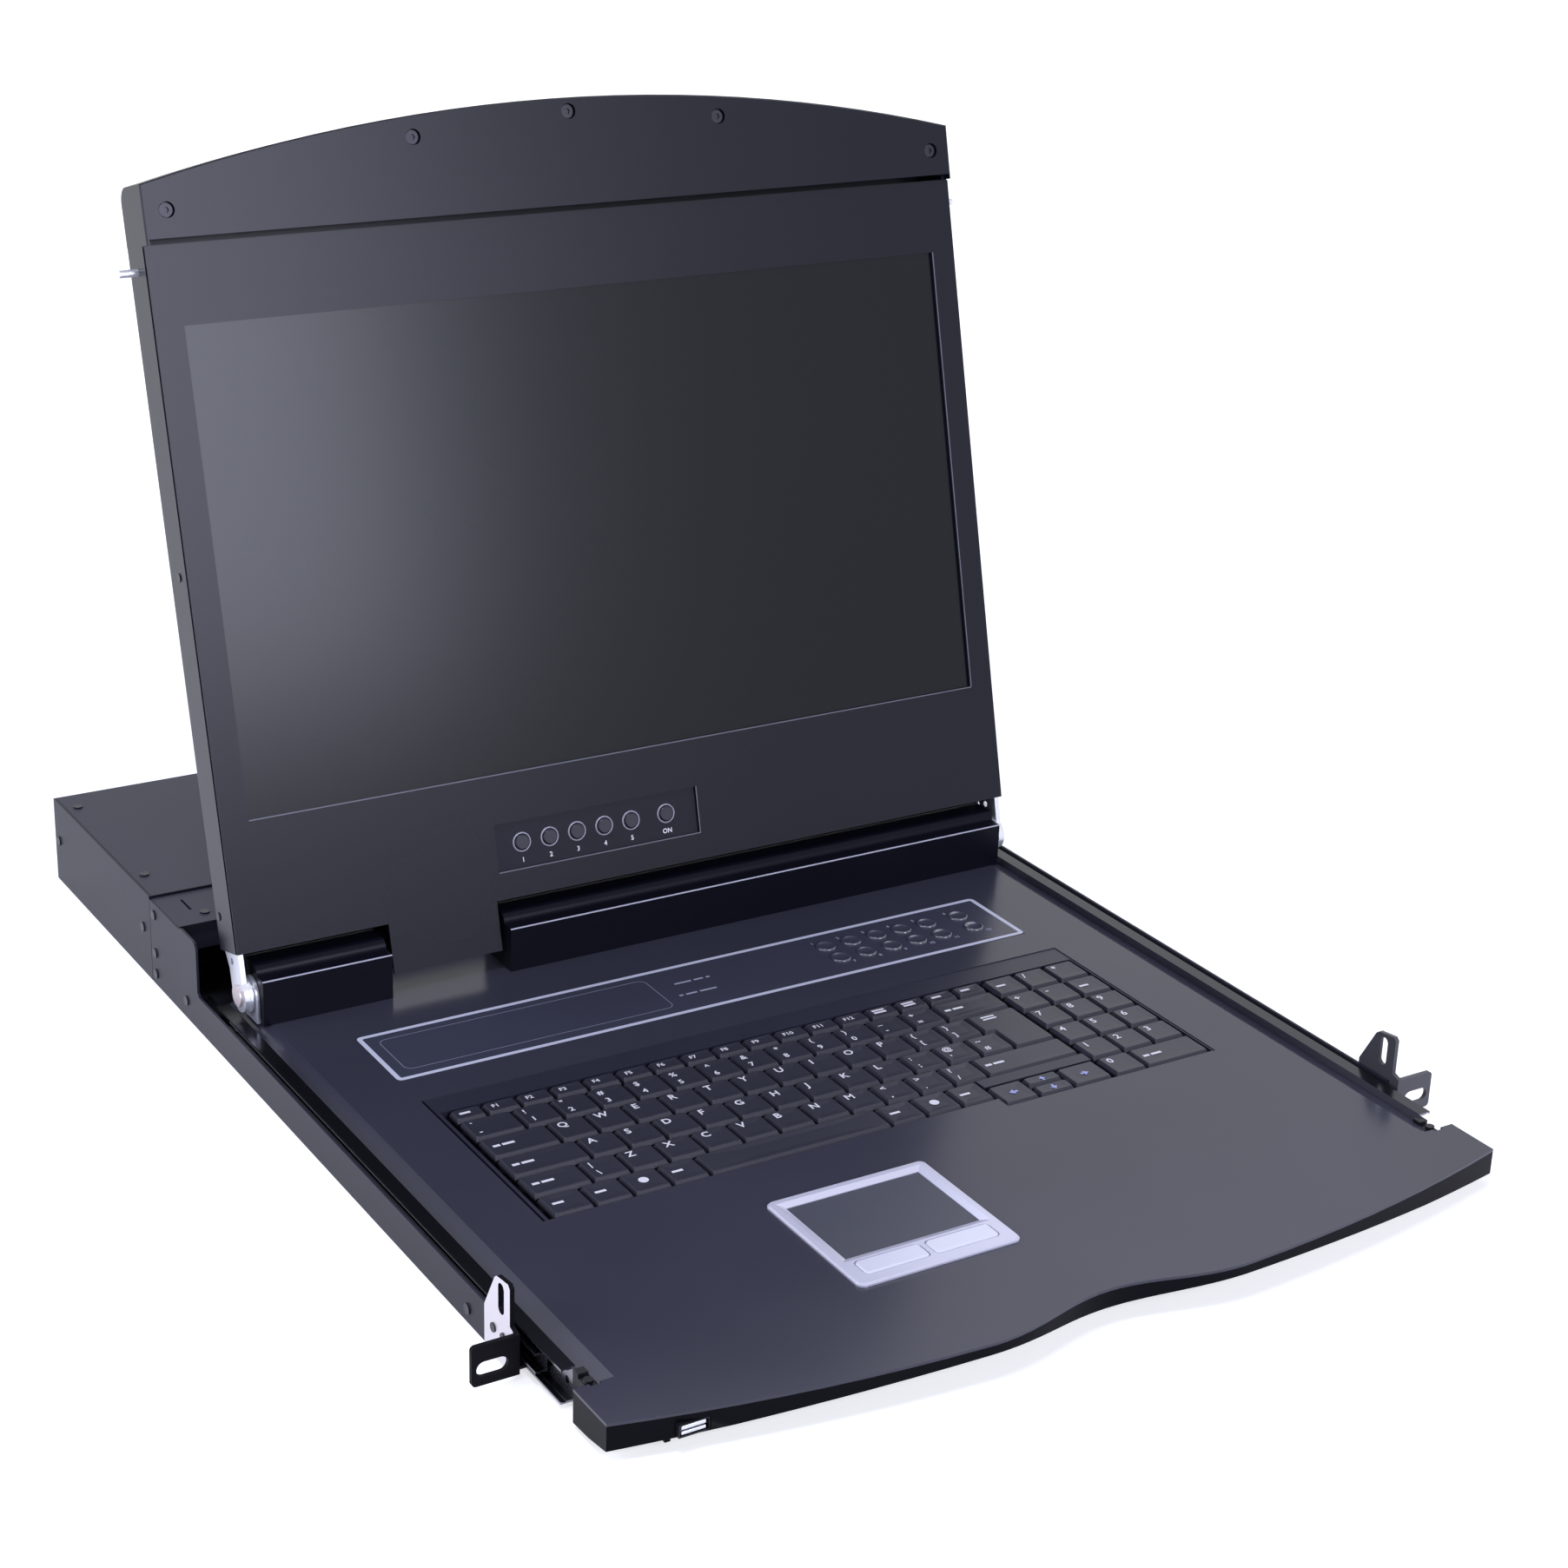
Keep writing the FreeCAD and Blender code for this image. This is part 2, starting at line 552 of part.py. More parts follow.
def usb_port():
    wide, high = USB_HALF
    skin = 0.5
    shell = block((USB_X - wide, USB_X + wide), (USB_FRONT, USB_FRONT + 16), (USB_Z - high, USB_Z + high))
    mouth = block((USB_X - wide + skin, USB_X + wide - skin), (USB_FRONT - 1, USB_FRONT + 12),
                  (USB_Z - high + skin, USB_Z + high - skin))
    tongue = block((USB_X - 5.4, USB_X + 5.4), (USB_FRONT + 1.5, USB_FRONT + 13), (USB_Z + 0.2, USB_Z + 1.7))
    return shell.cut(mouth).fuse(tongue)


# ---------------------------------------------------------------- tray
def well_outline(grow=0.0):
    """Outline of the keyboard's opening; its right-hand part reaches further forward."""
    left, right, back = WELL_LEFT - grow, WELL_RIGHT + grow, WELL_BACK + grow
    main, arrows = ROW_FRONT - WELL_MARGIN - grow, ARROW_FRONT - WELL_MARGIN - grow
    step = ARROW_LEFT - 0.8 - grow
    return [(left, main), (step, main), (step, arrows), (right, arrows), (right, back), (left, back)]


def tray_deck():
    low = DECK_TOP - SLOPE_DROP
    skirt = TRAY_UNDER + 1.4
    section = [(-FLAT_HALF, DECK_TOP), (FLAT_HALF, DECK_TOP), (TRAY_HALF, low), (TRAY_HALF, skirt),
               (TRAY_HALF - SHEET, skirt), (TRAY_HALF - SHEET, low - 0.9), (FLAT_HALF - 0.3, DECK_LOW),
               (-FLAT_HALF + 0.3, DECK_LOW), (-TRAY_HALF + SHEET, low - 0.9), (-TRAY_HALF + SHEET, skirt),
               (-TRAY_HALF, skirt), (-TRAY_HALF, low)]
    sheet = prism_xz(section, (HANDLE_BACK, TRAY_REAR))
    nose = handle_plan(DECK_LOW).extrude(Vector(0, 0, SHEET))
    deck = sheet.fuse(nose)
    through = (DECK_TOP - 3, DECK_TOP + 1)
    cuts = [prism_xy(well_outline(), through),
            block((PANEL_LEFT, PANEL_RIGHT), (PANEL_FRONT, PANEL_BACK), through),
            block((TOUCH_LEFT + TOUCH_LAP, TOUCH_RIGHT - TOUCH_LAP),
                  (TOUCH_FRONT + TOUCH_LAP, TOUCH_BACK - TOUCH_LAP),
                  through)]
    notch = block((TRAY_HALF - NOTCH_WIDTH, TRAY_HALF + 1), (HANDLE_BACK - 1.5, SLIDE_FRONT),
                  (0, DECK_TOP + 1))
    return deck.cut(cuts + both(notch)).removeSplitter()


def tray_base():
    half = TRAY_HALF - SHEET
    skin = 1.0
    sheet = block((-half, half), (HANDLE_BACK, TRAY_REAR), (TRAY_UNDER, TRAY_UNDER + skin))
    flange = block((half - skin, half), (SLIDE_FRONT, TRAY_REAR), (TRAY_UNDER, TRAY_UNDER + 7.2))
    rear = block((-half, half), (TRAY_REAR - skin, TRAY_REAR), (TRAY_UNDER, DECK_LOW - 3.0))
    boss_z = (TRAY_UNDER + skin, KEY_PLATE_TOP - KEY_PLATE_THICK)
    bosses = [square(x, y, 3.0, boss_z)
              for x in (KEYS_LEFT + 19.8, -73, 18, 73, PAD_LEFT + 2 * PAD_PITCH)
              for y in (row_front(1), WELL_BACK - 7)]
    return fused([sheet] + both(flange) + [rear] + bosses)


def slide_latch():
    """The stop block in the notch at the front end of each slide, with its screw boss."""
    x = (TRAY_HALF - NOTCH_WIDTH + AIR, TRAY_HALF + 1.2)
    y = (HANDLE_BACK, SLIDE_FRONT)
    body = block(x, y, (4.0, 14.5))
    hook = block(x, (y[0] + 8.5, y[1]), (14.5, 16.2))
    boss = rod(2.0, Vector((x[0] + x[1]) / 2, y[0] + 4.4, 14.5), 1.4, Z_AXIS)
    return fused([body, hook, boss])


# ---------------------------------------------------------------- select panel
def select_panel():
    top = block((PANEL_LEFT + 0.1, PANEL_RIGHT - 0.1), (PANEL_FRONT + 0.1, PANEL_BACK - 0.1),
                (DECK_LOW - 1.0, DECK_TOP + 0.2))
    under = block((PANEL_LEFT - 4, PANEL_RIGHT + 4), (PANEL_FRONT - 4, PANEL_BACK + 4),
                  (DECK_LOW - 1.0, DECK_LOW))
    holes = [rod(SELECT_RADIUS + 0.08, Vector(x, y, 0), 20, Z_AXIS) for x in SELECT_X for y in SELECT_Y]
    return fused([top, under]).cut(holes)


def select_button(x, y):
    """A round button whose top rises a little in a shallow cone."""
    foot = DECK_TOP - 2.6
    shoulder = DECK_TOP + 0.3
    stem = rod(SELECT_RADIUS, Vector(x, y, foot), shoulder - foot, Z_AXIS)
    crown = Part.makeCone(SELECT_RADIUS, SELECT_RADIUS - 2.2, 0.8, Vector(x, y, shoulder))
    return stem.fuse(crown)


# ---------------------------------------------------------------- keyboard
def row_front(row):
    """Front of a main row; 0 is the space bar row, 4 the number row, 5 the function row."""
    return ROW_FRONT + KEY_PITCH * row


def cells(y, depth, edges):
    return [(a, b, y, y + depth) for a, b in zip(edges[:-1], edges[1:])]


def run(start, pitch, count):
    return [start + pitch * i for i in range(count + 1)]


LETTERS_4 = run(-141.3, KEY_PITCH, 12)
LETTERS_3 = run(-133.75, KEY_PITCH, 12)
LETTERS_2 = run(-128.9, KEY_PITCH, 12)
LETTERS_1 = run(-138.1, KEY_PITCH, 11)
KEY_ROWS = {
    "keys_function_row": cells(row_front(5), FUNCTION_DEPTH, [KEYS_LEFT] + run(-150.9, 16.55, 16)),
    "keys_number_row": cells(row_front(4), KEY_PITCH, [KEYS_LEFT] + LETTERS_4 + [MAIN_RIGHT]),
    "keys_upper_row": cells(row_front(3), KEY_PITCH, [KEYS_LEFT] + LETTERS_3),
    "keys_home_row": cells(row_front(2), KEY_PITCH, [KEYS_LEFT] + LETTERS_2),
    "keys_lower_row": cells(row_front(1), KEY_PITCH, [KEYS_LEFT] + LETTERS_1 + [MAIN_RIGHT]),
    "keys_space_row": cells(row_front(0), KEY_PITCH,
                            [KEYS_LEFT, -146.6, -128.3, -110.0, -91.7, -0.4, 18.2, 36.9, ARROW_LEFT]),
    "keys_arrows": (cells(ARROW_FRONT, KEY_PITCH, [ARROW_LEFT, 73.3])
                    + cells(ARROW_FRONT, 9.6, [73.3, 92.6])
                    + cells(ARROW_FRONT + 9.6, KEY_PITCH - 9.6, [73.3, 92.6])
                    + cells(ARROW_FRONT, KEY_PITCH, [92.6, MAIN_RIGHT])),
    "keys_number_pad": ([c for row in range(1, 6)
                         for c in cells(ARROW_FRONT + KEY_PITCH * row, KEY_PITCH,
                                        run(PAD_LEFT, PAD_PITCH, 3))]
                        + cells(ARROW_FRONT, KEY_PITCH,
                                [PAD_LEFT, PAD_LEFT + PAD_PITCH, PAD_LEFT + 3 * PAD_PITCH])),
}
ENTER = (LETTERS_3[-1], LETTERS_2[-1], MAIN_RIGHT)
STEM_PAIR_WIDTH = 40.0        # caps wider than this stand on two stems


def frustum(foot, head, low, high):
    wires = [Part.makePolygon([Vector(x, y, z) for x, y in outline + outline[:1]])
             for outline, z in ((foot, low), (head, high))]
    return Part.makeLoft(wires, True, True)


def inset_box(cell, side, front, back):
    x0, x1, y0, y1 = cell
    return [(x0 + side, y0 + front), (x1 - side, y0 + front), (x1 - side, y1 - back), (x0 + side, y1 - back)]


def stem_places(cell):
    x0, x1, y0, y1 = cell
    middle = (x0 + x1) / 2
    y = (y0 + y1) / 2
    if x1 - x0 > STEM_PAIR_WIDTH:
        return [(middle - 15, y), (middle + 15, y)]
    return [(middle, y)]


def square(x, y, half, z):
    return block((x - half, x + half), (y - half, y + half), z)


def key_cap(cell):
    gap = KEY_GAP / 2
    cap = frustum(inset_box(cell, gap, gap, gap), inset_box(cell, gap + 0.6, gap + 0.9, gap + 0.5),
                  KEY_TOP - KEY_DEPTH, KEY_TOP)
    stems = [square(x, y, KEY_STEM / 2, (KEY_STEM_FOOT, KEY_TOP - KEY_DEPTH)) for x, y in stem_places(cell)]
    return fused([cap] + stems)


def enter_outline(side, front, back):
    upper, lower, right = ENTER
    step = row_front(3)
    return [(lower + side, row_front(2) + front), (right - side, row_front(2) + front),
            (right - side, row_front(4) - back), (upper + side, row_front(4) - back),
            (upper + side, step + front), (lower + side, step + front)]


ENTER_STEM = ((ENTER[1] + ENTER[2]) / 2, row_front(3) - 2.0)


def enter_key():
    """The tall angled key that spans the upper and the home row."""
    gap = KEY_GAP / 2
    cap = frustum(enter_outline(gap, gap, gap), enter_outline(gap + 0.6, gap + 0.9, gap + 0.5),
                  KEY_TOP - KEY_DEPTH, KEY_TOP)
    return cap.fuse(square(*ENTER_STEM, KEY_STEM / 2, (KEY_STEM_FOOT, KEY_TOP - KEY_DEPTH))).removeSplitter()


def keyboard_plate():
    """The steel plate under the keys, with a square guide hole for each stem."""
    z = (KEY_PLATE_TOP - KEY_PLATE_THICK, KEY_PLATE_TOP)
    plate = prism_xy(well_outline(-0.2), z)
    half = KEY_STEM / 2 + RUNNING_FIT
    cut_z = (z[0] - 1, z[1] + 1)
    holes = [square(x, y, half, cut_z)
             for row in KEY_ROWS.values() for cell in row for x, y in stem_places(cell)]
    holes.append(square(*ENTER_STEM, half, cut_z))
    return plate.cut(holes)


def keyboard_frame():
    """The moulded surround between the deck and the keys, standing on the plate."""
    top = KEY_TOP - 0.2
    through = (KEY_PLATE_TOP - 1, top + 1)
    full = prism_xy(well_outline(-0.2), (KEY_PLATE_TOP, top))
    main_back = row_front(5) + FUNCTION_DEPTH + 0.4
    main_left = WELL_LEFT + SURROUND_GAP + SURROUND_RIM
    ways = [block((main_left, MAIN_RIGHT + 1.0), (row_front(1) - 0.4, main_back), through),
            block((main_left, ARROW_LEFT + 0.4), (ROW_FRONT - 0.5, row_front(1)), through),
            block((ARROW_LEFT - 0.2, MAIN_RIGHT + 1.0), (ARROW_FRONT - 0.4, ARROW_FRONT + KEY_PITCH + 0.4),
                  through),
            block((MAIN_RIGHT, WELL_RIGHT - 1.0), (ARROW_FRONT - 0.4, ARROW_FRONT + 6 * KEY_PITCH + 0.4),
                  through),
            block((WELL_LEFT - 1, WELL_LEFT + SURROUND_GAP), (ROW_FRONT - 9, WELL_BACK + 1),
                  (KEY_PLATE_TOP + 1.5, top + 1))]
    return full.cut(ways)


# ---------------------------------------------------------------- touchpad
TOUCH_LAP = 3.4               # the bezel's edge lies on the deck by this much
BUTTON_DEPTH = 11.0
TOUCH_BAR = 4.6               # bezel between the pad and its buttons
TOUCH_INNER = (TOUCH_LEFT + TOUCH_RIM, TOUCH_RIGHT - TOUCH_RIM)
BUTTON_WINDOW = (TOUCH_FRONT + TOUCH_RIM - 1.0, TOUCH_FRONT + TOUCH_RIM - 1.0 + BUTTON_DEPTH)
PAD_WINDOW = (BUTTON_WINDOW[1] + TOUCH_BAR, TOUCH_BACK - TOUCH_RIM)
BUTTON_BASE = DECK_TOP - 2.4
BUTTON_CORNER = 2.5


def rectangle(x, y, z):
    corners = [Vector(x[0], y[0], z), Vector(x[1], y[0], z), Vector(x[1], y[1], z), Vector(x[0], y[1], z)]
    return Part.makePolygon(corners + corners[:1])


def funnel(x, y, grow, z):
    """A rectangular hole whose walls lean outwards by grow on their way up."""
    low, high = z
    wide = rectangle((x[0] - grow, x[1] + grow), (y[0] - grow, y[1] + grow), high)
    return Part.makeLoft([rectangle(x, y, low), wide], True, True)


def touchpad_bezel():
    """A raised frame whose inner part slopes down to the pad."""
    rim = rounded((TOUCH_LEFT, TOUCH_RIGHT), (TOUCH_FRONT, TOUCH_BACK), (DECK_TOP, TOUCH_TOP), 3.5)
    edge = [e for e in rim.Edges if abs(e.CenterOfMass.z - TOUCH_TOP) < 0.01]
    rim = rim.makeChamfer(0.8, edge)
    lap = TOUCH_LAP + 0.1
    skirt = block((TOUCH_LEFT + lap, TOUCH_RIGHT - lap), (TOUCH_FRONT + lap, TOUCH_BACK - lap),
                  (TRAY_UNDER + 1.0, DECK_TOP))
    slope = funnel(TOUCH_INNER, PAD_WINDOW, TOUCH_SLOPE, (TOUCH_TOP - 1.1, TOUCH_TOP + 0.01))
    under = block((TOUCH_INNER[0] + 3, TOUCH_INNER[1] - 3), (PAD_WINDOW[0] + 4, PAD_WINDOW[1] - 4),
                  (TRAY_UNDER, 13.0))
    seat = block(TOUCH_INNER, PAD_WINDOW, (TOUCH_TOP - 2.4, TOUCH_TOP))
    slots = [rounded(touch_reach(side, 0.0), BUTTON_WINDOW, (BUTTON_BASE - 1.2, TOUCH_TOP + 1), BUTTON_CORNER)
             for side in (-1, 1)]
    return rim.fuse(skirt).cut([slope, seat, under] + slots)


def touch_surface():
    x, y = TOUCH_INNER, PAD_WINDOW
    return block((x[0] + 0.1, x[1] - 0.1), (y[0] + 0.1, y[1] - 0.1), (TOUCH_TOP - 2.4, TOUCH_TOP - 1.4))


def touch_reach(side, gap):
    """Left and right end of a touchpad button's slot, less a gap all round."""
    middle = (TOUCH_INNER[0] + TOUCH_INNER[1]) / 2
    if side < 0:
        return (TOUCH_INNER[0] + gap, middle - 1.1 - gap)
    return (middle + 1.1 + gap, TOUCH_INNER[1] - gap)


def touch_button(side):
    gap = AIR + 0.15
    y = (BUTTON_WINDOW[0] + gap, BUTTON_WINDOW[1] - gap)
    top = TOUCH_TOP + 0.5
    cap = rounded(touch_reach(side, gap), y, (BUTTON_BASE, top), BUTTON_CORNER - gap)
    return cap.makeChamfer(0.6, [e for e in cap.Edges if abs(e.CenterOfMass.z - top) < 0.01])


# ---------------------------------------------------------------- hinges and their covers
ARM_X = (LID_HALF - SHEET - 2.4, LID_HALF - SHEET)
BRACKET_X = (COVER_END + 0.2, COVER_END + 1.8)
BRACKET_FOOT = BRACKET_X[0] - 17.6
ARM_TOP = 76.0
PIN_RADIUS = 3.0
STACK_RADIUS = 8.6


def at_hinge(shape):
    """From the lid's own frame, upright with the hinge axis at the origin, to its place."""
    placed = shape.copy()
    placed.rotate(ORIGIN, X_AXIS, -LID_LEAN)
    placed.translate(Vector(0, HINGE_Y, HINGE_Z))
    return placed


def hinge_arm():
    eye = rod(STACK_RADIUS - 0.6, Vector(ARM_X[0], 0, 0), ARM_X[1] - ARM_X[0], X_AXIS)
    leaf = prism_yz([(-5.5, 0), (-5.5, ARM_TOP - 2), (-3.5, ARM_TOP), (11.0, ARM_TOP), (13.0, ARM_TOP - 2),
                     (13.0, 24), (7.8, 12), (7.8, 0)], ARM_X)
    holes = [rod(PIN_RADIUS, Vector(ARM_X[0] - 1, 0, 0), 5, X_AXIS),
             rod(1.6, Vector(ARM_X[0] - 1, 3.5, 15.5), 5, X_AXIS)]
    return fused([eye, leaf]).cut(holes)


def hinge_bracket():
    axis = Vector(BRACKET_X[0], HINGE_Y, HINGE_Z)
    eye = rod(STACK_RADIUS, axis, BRACKET_X[1] - BRACKET_X[0], X_AXIS)
    cheek = block(BRACKET_X, (HINGE_Y - STACK_RADIUS, HINGE_Y + STACK_RADIUS), (DECK_TOP, HINGE_Z))
    foot = block((BRACKET_FOOT, BRACKET_X[1]), (HINGE_Y - STACK_RADIUS, HINGE_Y + STACK_RADIUS),
                 (DECK_TOP, DECK_TOP + 2.0))
    hole = rod(PIN_RADIUS + RUNNING_FIT, axis - X_AXIS, 4, X_AXIS)
    return fused([eye, cheek, foot]).cut(hole)


def hinge_pin():
    """The pin with its nut on the inner end, one turning piece."""
    nut_face = BRACKET_X[0] - AIR
    inner_end = nut_face - 5.0
    head = rod(5.0, Vector(ARM_X[1], 0, 0), 1.4, X_AXIS)
    shank = rod(PIN_RADIUS, Vector(inner_end, 0, 0), ARM_X[1] - inner_end, X_AXIS)
    corners = [(5.6 * math.cos(math.radians(60 * i)), 5.6 * math.sin(math.radians(60 * i))) for i in range(6)]
    nut = prism_yz(corners, (nut_face - 3.2, nut_face))
    return fused([head, shank, nut])


def friction_washers():
    """A small and a large spring washer between the bracket and the arm."""
    room = (BRACKET_X[1] + RUNNING_FIT, ARM_X[0])
    thick = (room[1] - room[0]) / 2
    rings = []
    for i, radius in enumerate((STACK_RADIUS - 2.4, STACK_RADIUS)):
        ring = rod(radius, Vector(room[0] + i * thick, 0, 0), thick, X_AXIS)
        rings.append(ring.cut(rod(PIN_RADIUS, Vector(room[0] - 1, 0, 0), 8, X_AXIS)))
    return rings


def cover_outline(skin):
    """Side view of a hinge cover: upright front, a flat shelf, a roll up to the crest and a round back."""
    front, back = COVER_FRONT + skin, COVER_BACK - skin
    shelf, crest = COVER_SHELF - skin, COVER_CREST - skin
    step = COVER_FRONT + 7.0 + skin
    rise, fall = crest - shelf, 9.0 - skin
    bend = math.sqrt(0.5)
    lines = [((front, DECK_TOP), (front, shelf - 0.5)),
             ((front, shelf - 0.5), (front + 0.5, shelf)),
             ((front + 0.5, shelf), (step, shelf)),
             ((step + rise, crest), (back - fall, crest)),
             ((back, crest - fall), (back, DECK_TOP)),
             ((back, DECK_TOP), (front, DECK_TOP))]
    arcs = [((step, shelf), (step + rise * (1 - bend), shelf + rise * bend), (step + rise, crest)),
            ((back - fall, crest), (back - fall * (1 - bend), crest - fall * (1 - bend)),
             (back, crest - fall))]
    at = lambda point: Vector(0, *point)
    edges = [Part.LineSegment(at(a), at(b)) for a, b in lines]
    edges += [Part.Arc(at(a), at(b), at(c)) for a, b, c in arcs]
    return Part.Face(Part.Wire(Part.__sortEdges__([e.toShape() for e in edges])))


def cover_body(skin, x):
    body = cover_outline(skin).extrude(Vector(x[1] - x[0], 0, 0))
    body.translate(Vector(x[0], 0, 0))
    return body


def hinge_cover(x):
    skin = 1.5
    cover = cover_body(0, x).cut(cover_body(skin, (x[0] + skin, x[1] - skin)))
    sign = 1 if x == COVER_RIGHT else -1
    way = rod(7.0, Vector(sign * BRACKET_X[1], HINGE_Y, HINGE_Z), 8, X_AXIS * -sign)
    reach = tuple(sorted((sign * (BRACKET_FOOT - AIR), sign * BRACKET_X[1])))
    foot_way = block(reach, (HINGE_Y - STACK_RADIUS - AIR, HINGE_Y + STACK_RADIUS + AIR),
                     (DECK_TOP, DECK_TOP + 2.3))
    return cover.cut([way, foot_way])


# ---------------------------------------------------------------- lid
BEZEL = (LID_FRONT, LID_FRONT + 1.5)


def lid_shell():
    y = (BEZEL[1], LID_BACK)
    outer = block((-LID_HALF, LID_HALF), y, (LID_FOOT, LID_HEAD))
    rims = [e for e in outer.Edges
            if abs(e.CenterOfMass.y - LID_BACK) < 0.01 and abs(e.CenterOfMass.x) > LID_HALF - 1]
    outer = outer.makeFillet(2.0, rims)
    half = LID_HALF - SHEET
    inner = block((-half, half), (y[0] - 1, LID_BACK - SHEET), (LID_FOOT + SHEET, LID_HEAD - SHEET))
    shell = outer.cut(inner)
    bush = block((half - 9.0, half), (LATCH_DEPTH - 5, LID_BACK - SHEET), (LATCH_UP - 5, LATCH_UP + 5))
    shell = fused([shell] + both(bush))
    pin_way = rod(LATCH_RADIUS + RUNNING_FIT, Vector(LID_HALF - 11, LATCH_DEPTH, LATCH_UP), 14, X_AXIS)
    arm_way = block((ARM_X[0] - 0.2, ARM_X[1]), (-6.0, 13.5), (LID_FOOT - 1, LID_FOOT + SHEET + 1))
    return shell.cut(both(pin_way) + both(arm_way))


def lid_bezel():
    edge = LID_HALF - 0.4
    half = LID_HALF - 2.6
    fold = (BEZEL[1], BEZEL[1] + 4)
    plate = block((-edge, edge), BEZEL, (LID_FOOT, LID_HEAD - 0.4))
    tab = block((TAB_LEFT, TAB_RIGHT), BEZEL, (TAB_FOOT, LID_FOOT + 1))
    inner = ARM_X[0] - AIR
    foot_fold = block((-inner, inner), fold, (LID_FOOT + SHEET, LID_FOOT + 2 * SHEET))
    head_fold = block((-half, half), fold, (LID_HEAD - 2 * SHEET, LID_HEAD - SHEET))
    side_fold = block((half - SHEET, half), fold, (ARM_TOP + 4, LID_HEAD - 2 * SHEET))
    bezel = fused([plate, tab, foot_fold, head_fold] + both(side_fold))
    window = block((-SCREEN_HALF, SCREEN_HALF), (LID_FRONT - 1, BEZEL[1] + 0.1), (SCREEN_FOOT, SCREEN_HEAD))
    osd = block((OSD_LEFT, OSD_RIGHT), (LID_FRONT - 1, BEZEL[1] + 0.1), (OSD_FOOT, OSD_HEAD))
    return bezel.cut([window, osd])


def lcd_panel():
    edge = 3.0
    return block((-SCREEN_HALF - edge, SCREEN_HALF + edge), (BEZEL[1], BEZEL[1] + 10.0),
                 (SCREEN_FOOT - edge, SCREEN_HEAD + edge))


def lid_handle():
    """The grip along the lid's upper edge; its top is one long arc."""
    front, back = LID_FRONT - STRIP_PROUD, LID_BACK
    foot = LID_HEAD
    ends = [Vector(-STRIP_HALF, front, STRIP_CORNER), Vector(0, front, STRIP_PEAK),
            Vector(STRIP_HALF, front, STRIP_CORNER)]
    low_left, low_right = Vector(-STRIP_HALF, front, foot), Vector(STRIP_HALF, front, foot)
    outline = Part.Wire([Part.LineSegment(low_left, low_right).toShape(),
                         Part.LineSegment(low_right, ends[2]).toShape(),
                         Part.Arc(ends[2], ends[1], ends[0]).toShape(),
                         Part.LineSegment(ends[0], low_left).toShape()])
    body = Part.Face(outline).extrude(Vector(0, back - front, 0))
    crest = [e for e in body.Edges if abs(e.CenterOfMass.y - back) < 0.01 and e.CenterOfMass.z > STRIP_CORNER]
    body = body.makeFillet(7.0, crest)
    front_rim = [e for e in body.Edges
                 if abs(e.CenterOfMass.y - front) < 0.01 and e.CenterOfMass.z > foot + 1]
    body = body.makeChamfer(0.7, front_rim)
    wall = 3.5
    hollow = block((-STRIP_HALF + 3, STRIP_HALF - 3), (front + wall, back - wall),
                   (foot - 1, STRIP_CORNER - 5.5))
    groove = block((-STRIP_HALF + 1, STRIP_HALF - 1), (front - 1, front + wall + 1),
                   (foot - 1, foot + STRIP_GROOVE))
    return body.cut([hollow, groove] + strip_screw_wells())


LID_SIDE_SCREWS = ((2.5, LID_FOOT + 172.9), (10.0, LID_FOOT + 15.9))
STRIP_SCREWS = ((-STRIP_HALF + 11.0, 14.6), (-80.5, 38.6), (0.0, 45.6), (80.5, 38.6),
                (STRIP_HALF - 11.0, 14.6))
WELL_RADIUS = 3.7
WELL_DEPTH = 2.6


def strip_screw_wells():
    front = LID_FRONT - STRIP_PROUD
    return [rod(WELL_RADIUS, Vector(x, front - 1, LID_HEAD + rise), WELL_DEPTH + 1, Y_AXIS)
            for x, rise in STRIP_SCREWS]


def strip_screws():
    """Socket screws at the bottom of the strip's wells."""
    floor = LID_FRONT - STRIP_PROUD + WELL_DEPTH
    heads = []
    for x, rise in STRIP_SCREWS:
        up = LID_HEAD + rise
        head = rod(WELL_RADIUS - 0.6, Vector(x, floor - 1.2, up), 1.2, Y_AXIS)
        heads.append(head.cut(hexagon(x, up, 1.5, (floor - 2, floor - 0.4))))
    return heads


def lid_side_screws():
    return [screw_head(Vector(sign * LID_HALF, y, up), X_AXIS * sign, 2.0, 0.5)
            for sign in (-1, 1) for y, up in LID_SIDE_SCREWS]


def osd_panel():
    plate = block((OSD_LEFT - 3, OSD_RIGHT + 3), (BEZEL[1], BEZEL[1] + 1.2), (OSD_FOOT - 3, OSD_HEAD + 3))
    holes = [rod(BUTTON_RADIUS + 0.08, Vector(x, LID_FRONT - 2, OSD_UP), 8, Y_AXIS) for x in OSD_X]
    return plate.cut(holes)


def osd_button(x):
    """A round push button; its collar stands behind the panel."""
    start = LID_FRONT + 0.1
    cap = rod(BUTTON_RADIUS, Vector(x, start, OSD_UP), 6.2, Y_AXIS)
    cap = cap.makeChamfer(0.5, [e for e in cap.Edges if abs(e.CenterOfMass.y - start) < 0.01])
    collar = rod(BUTTON_RADIUS + 1.0, Vector(x, BEZEL[1] + 1.2 + AIR, OSD_UP), 1.0, Y_AXIS)
    return fused([cap, collar])


def osd_board():
    """The small circuit board behind the on-screen buttons, on two posts from the shell."""
    y = (2.4, 4.0)
    board = block((OSD_LEFT - 3, OSD_RIGHT + 3), y, (OSD_FOOT - 3, OSD_HEAD + 3))
    posts = [block((x - 2.2, x + 2.2), (y[1], LID_BACK - SHEET), (OSD_UP - 2.2, OSD_UP + 2.2))
             for x in (OSD_LEFT + 4, OSD_RIGHT - 4)]
    return fused([board] + posts)


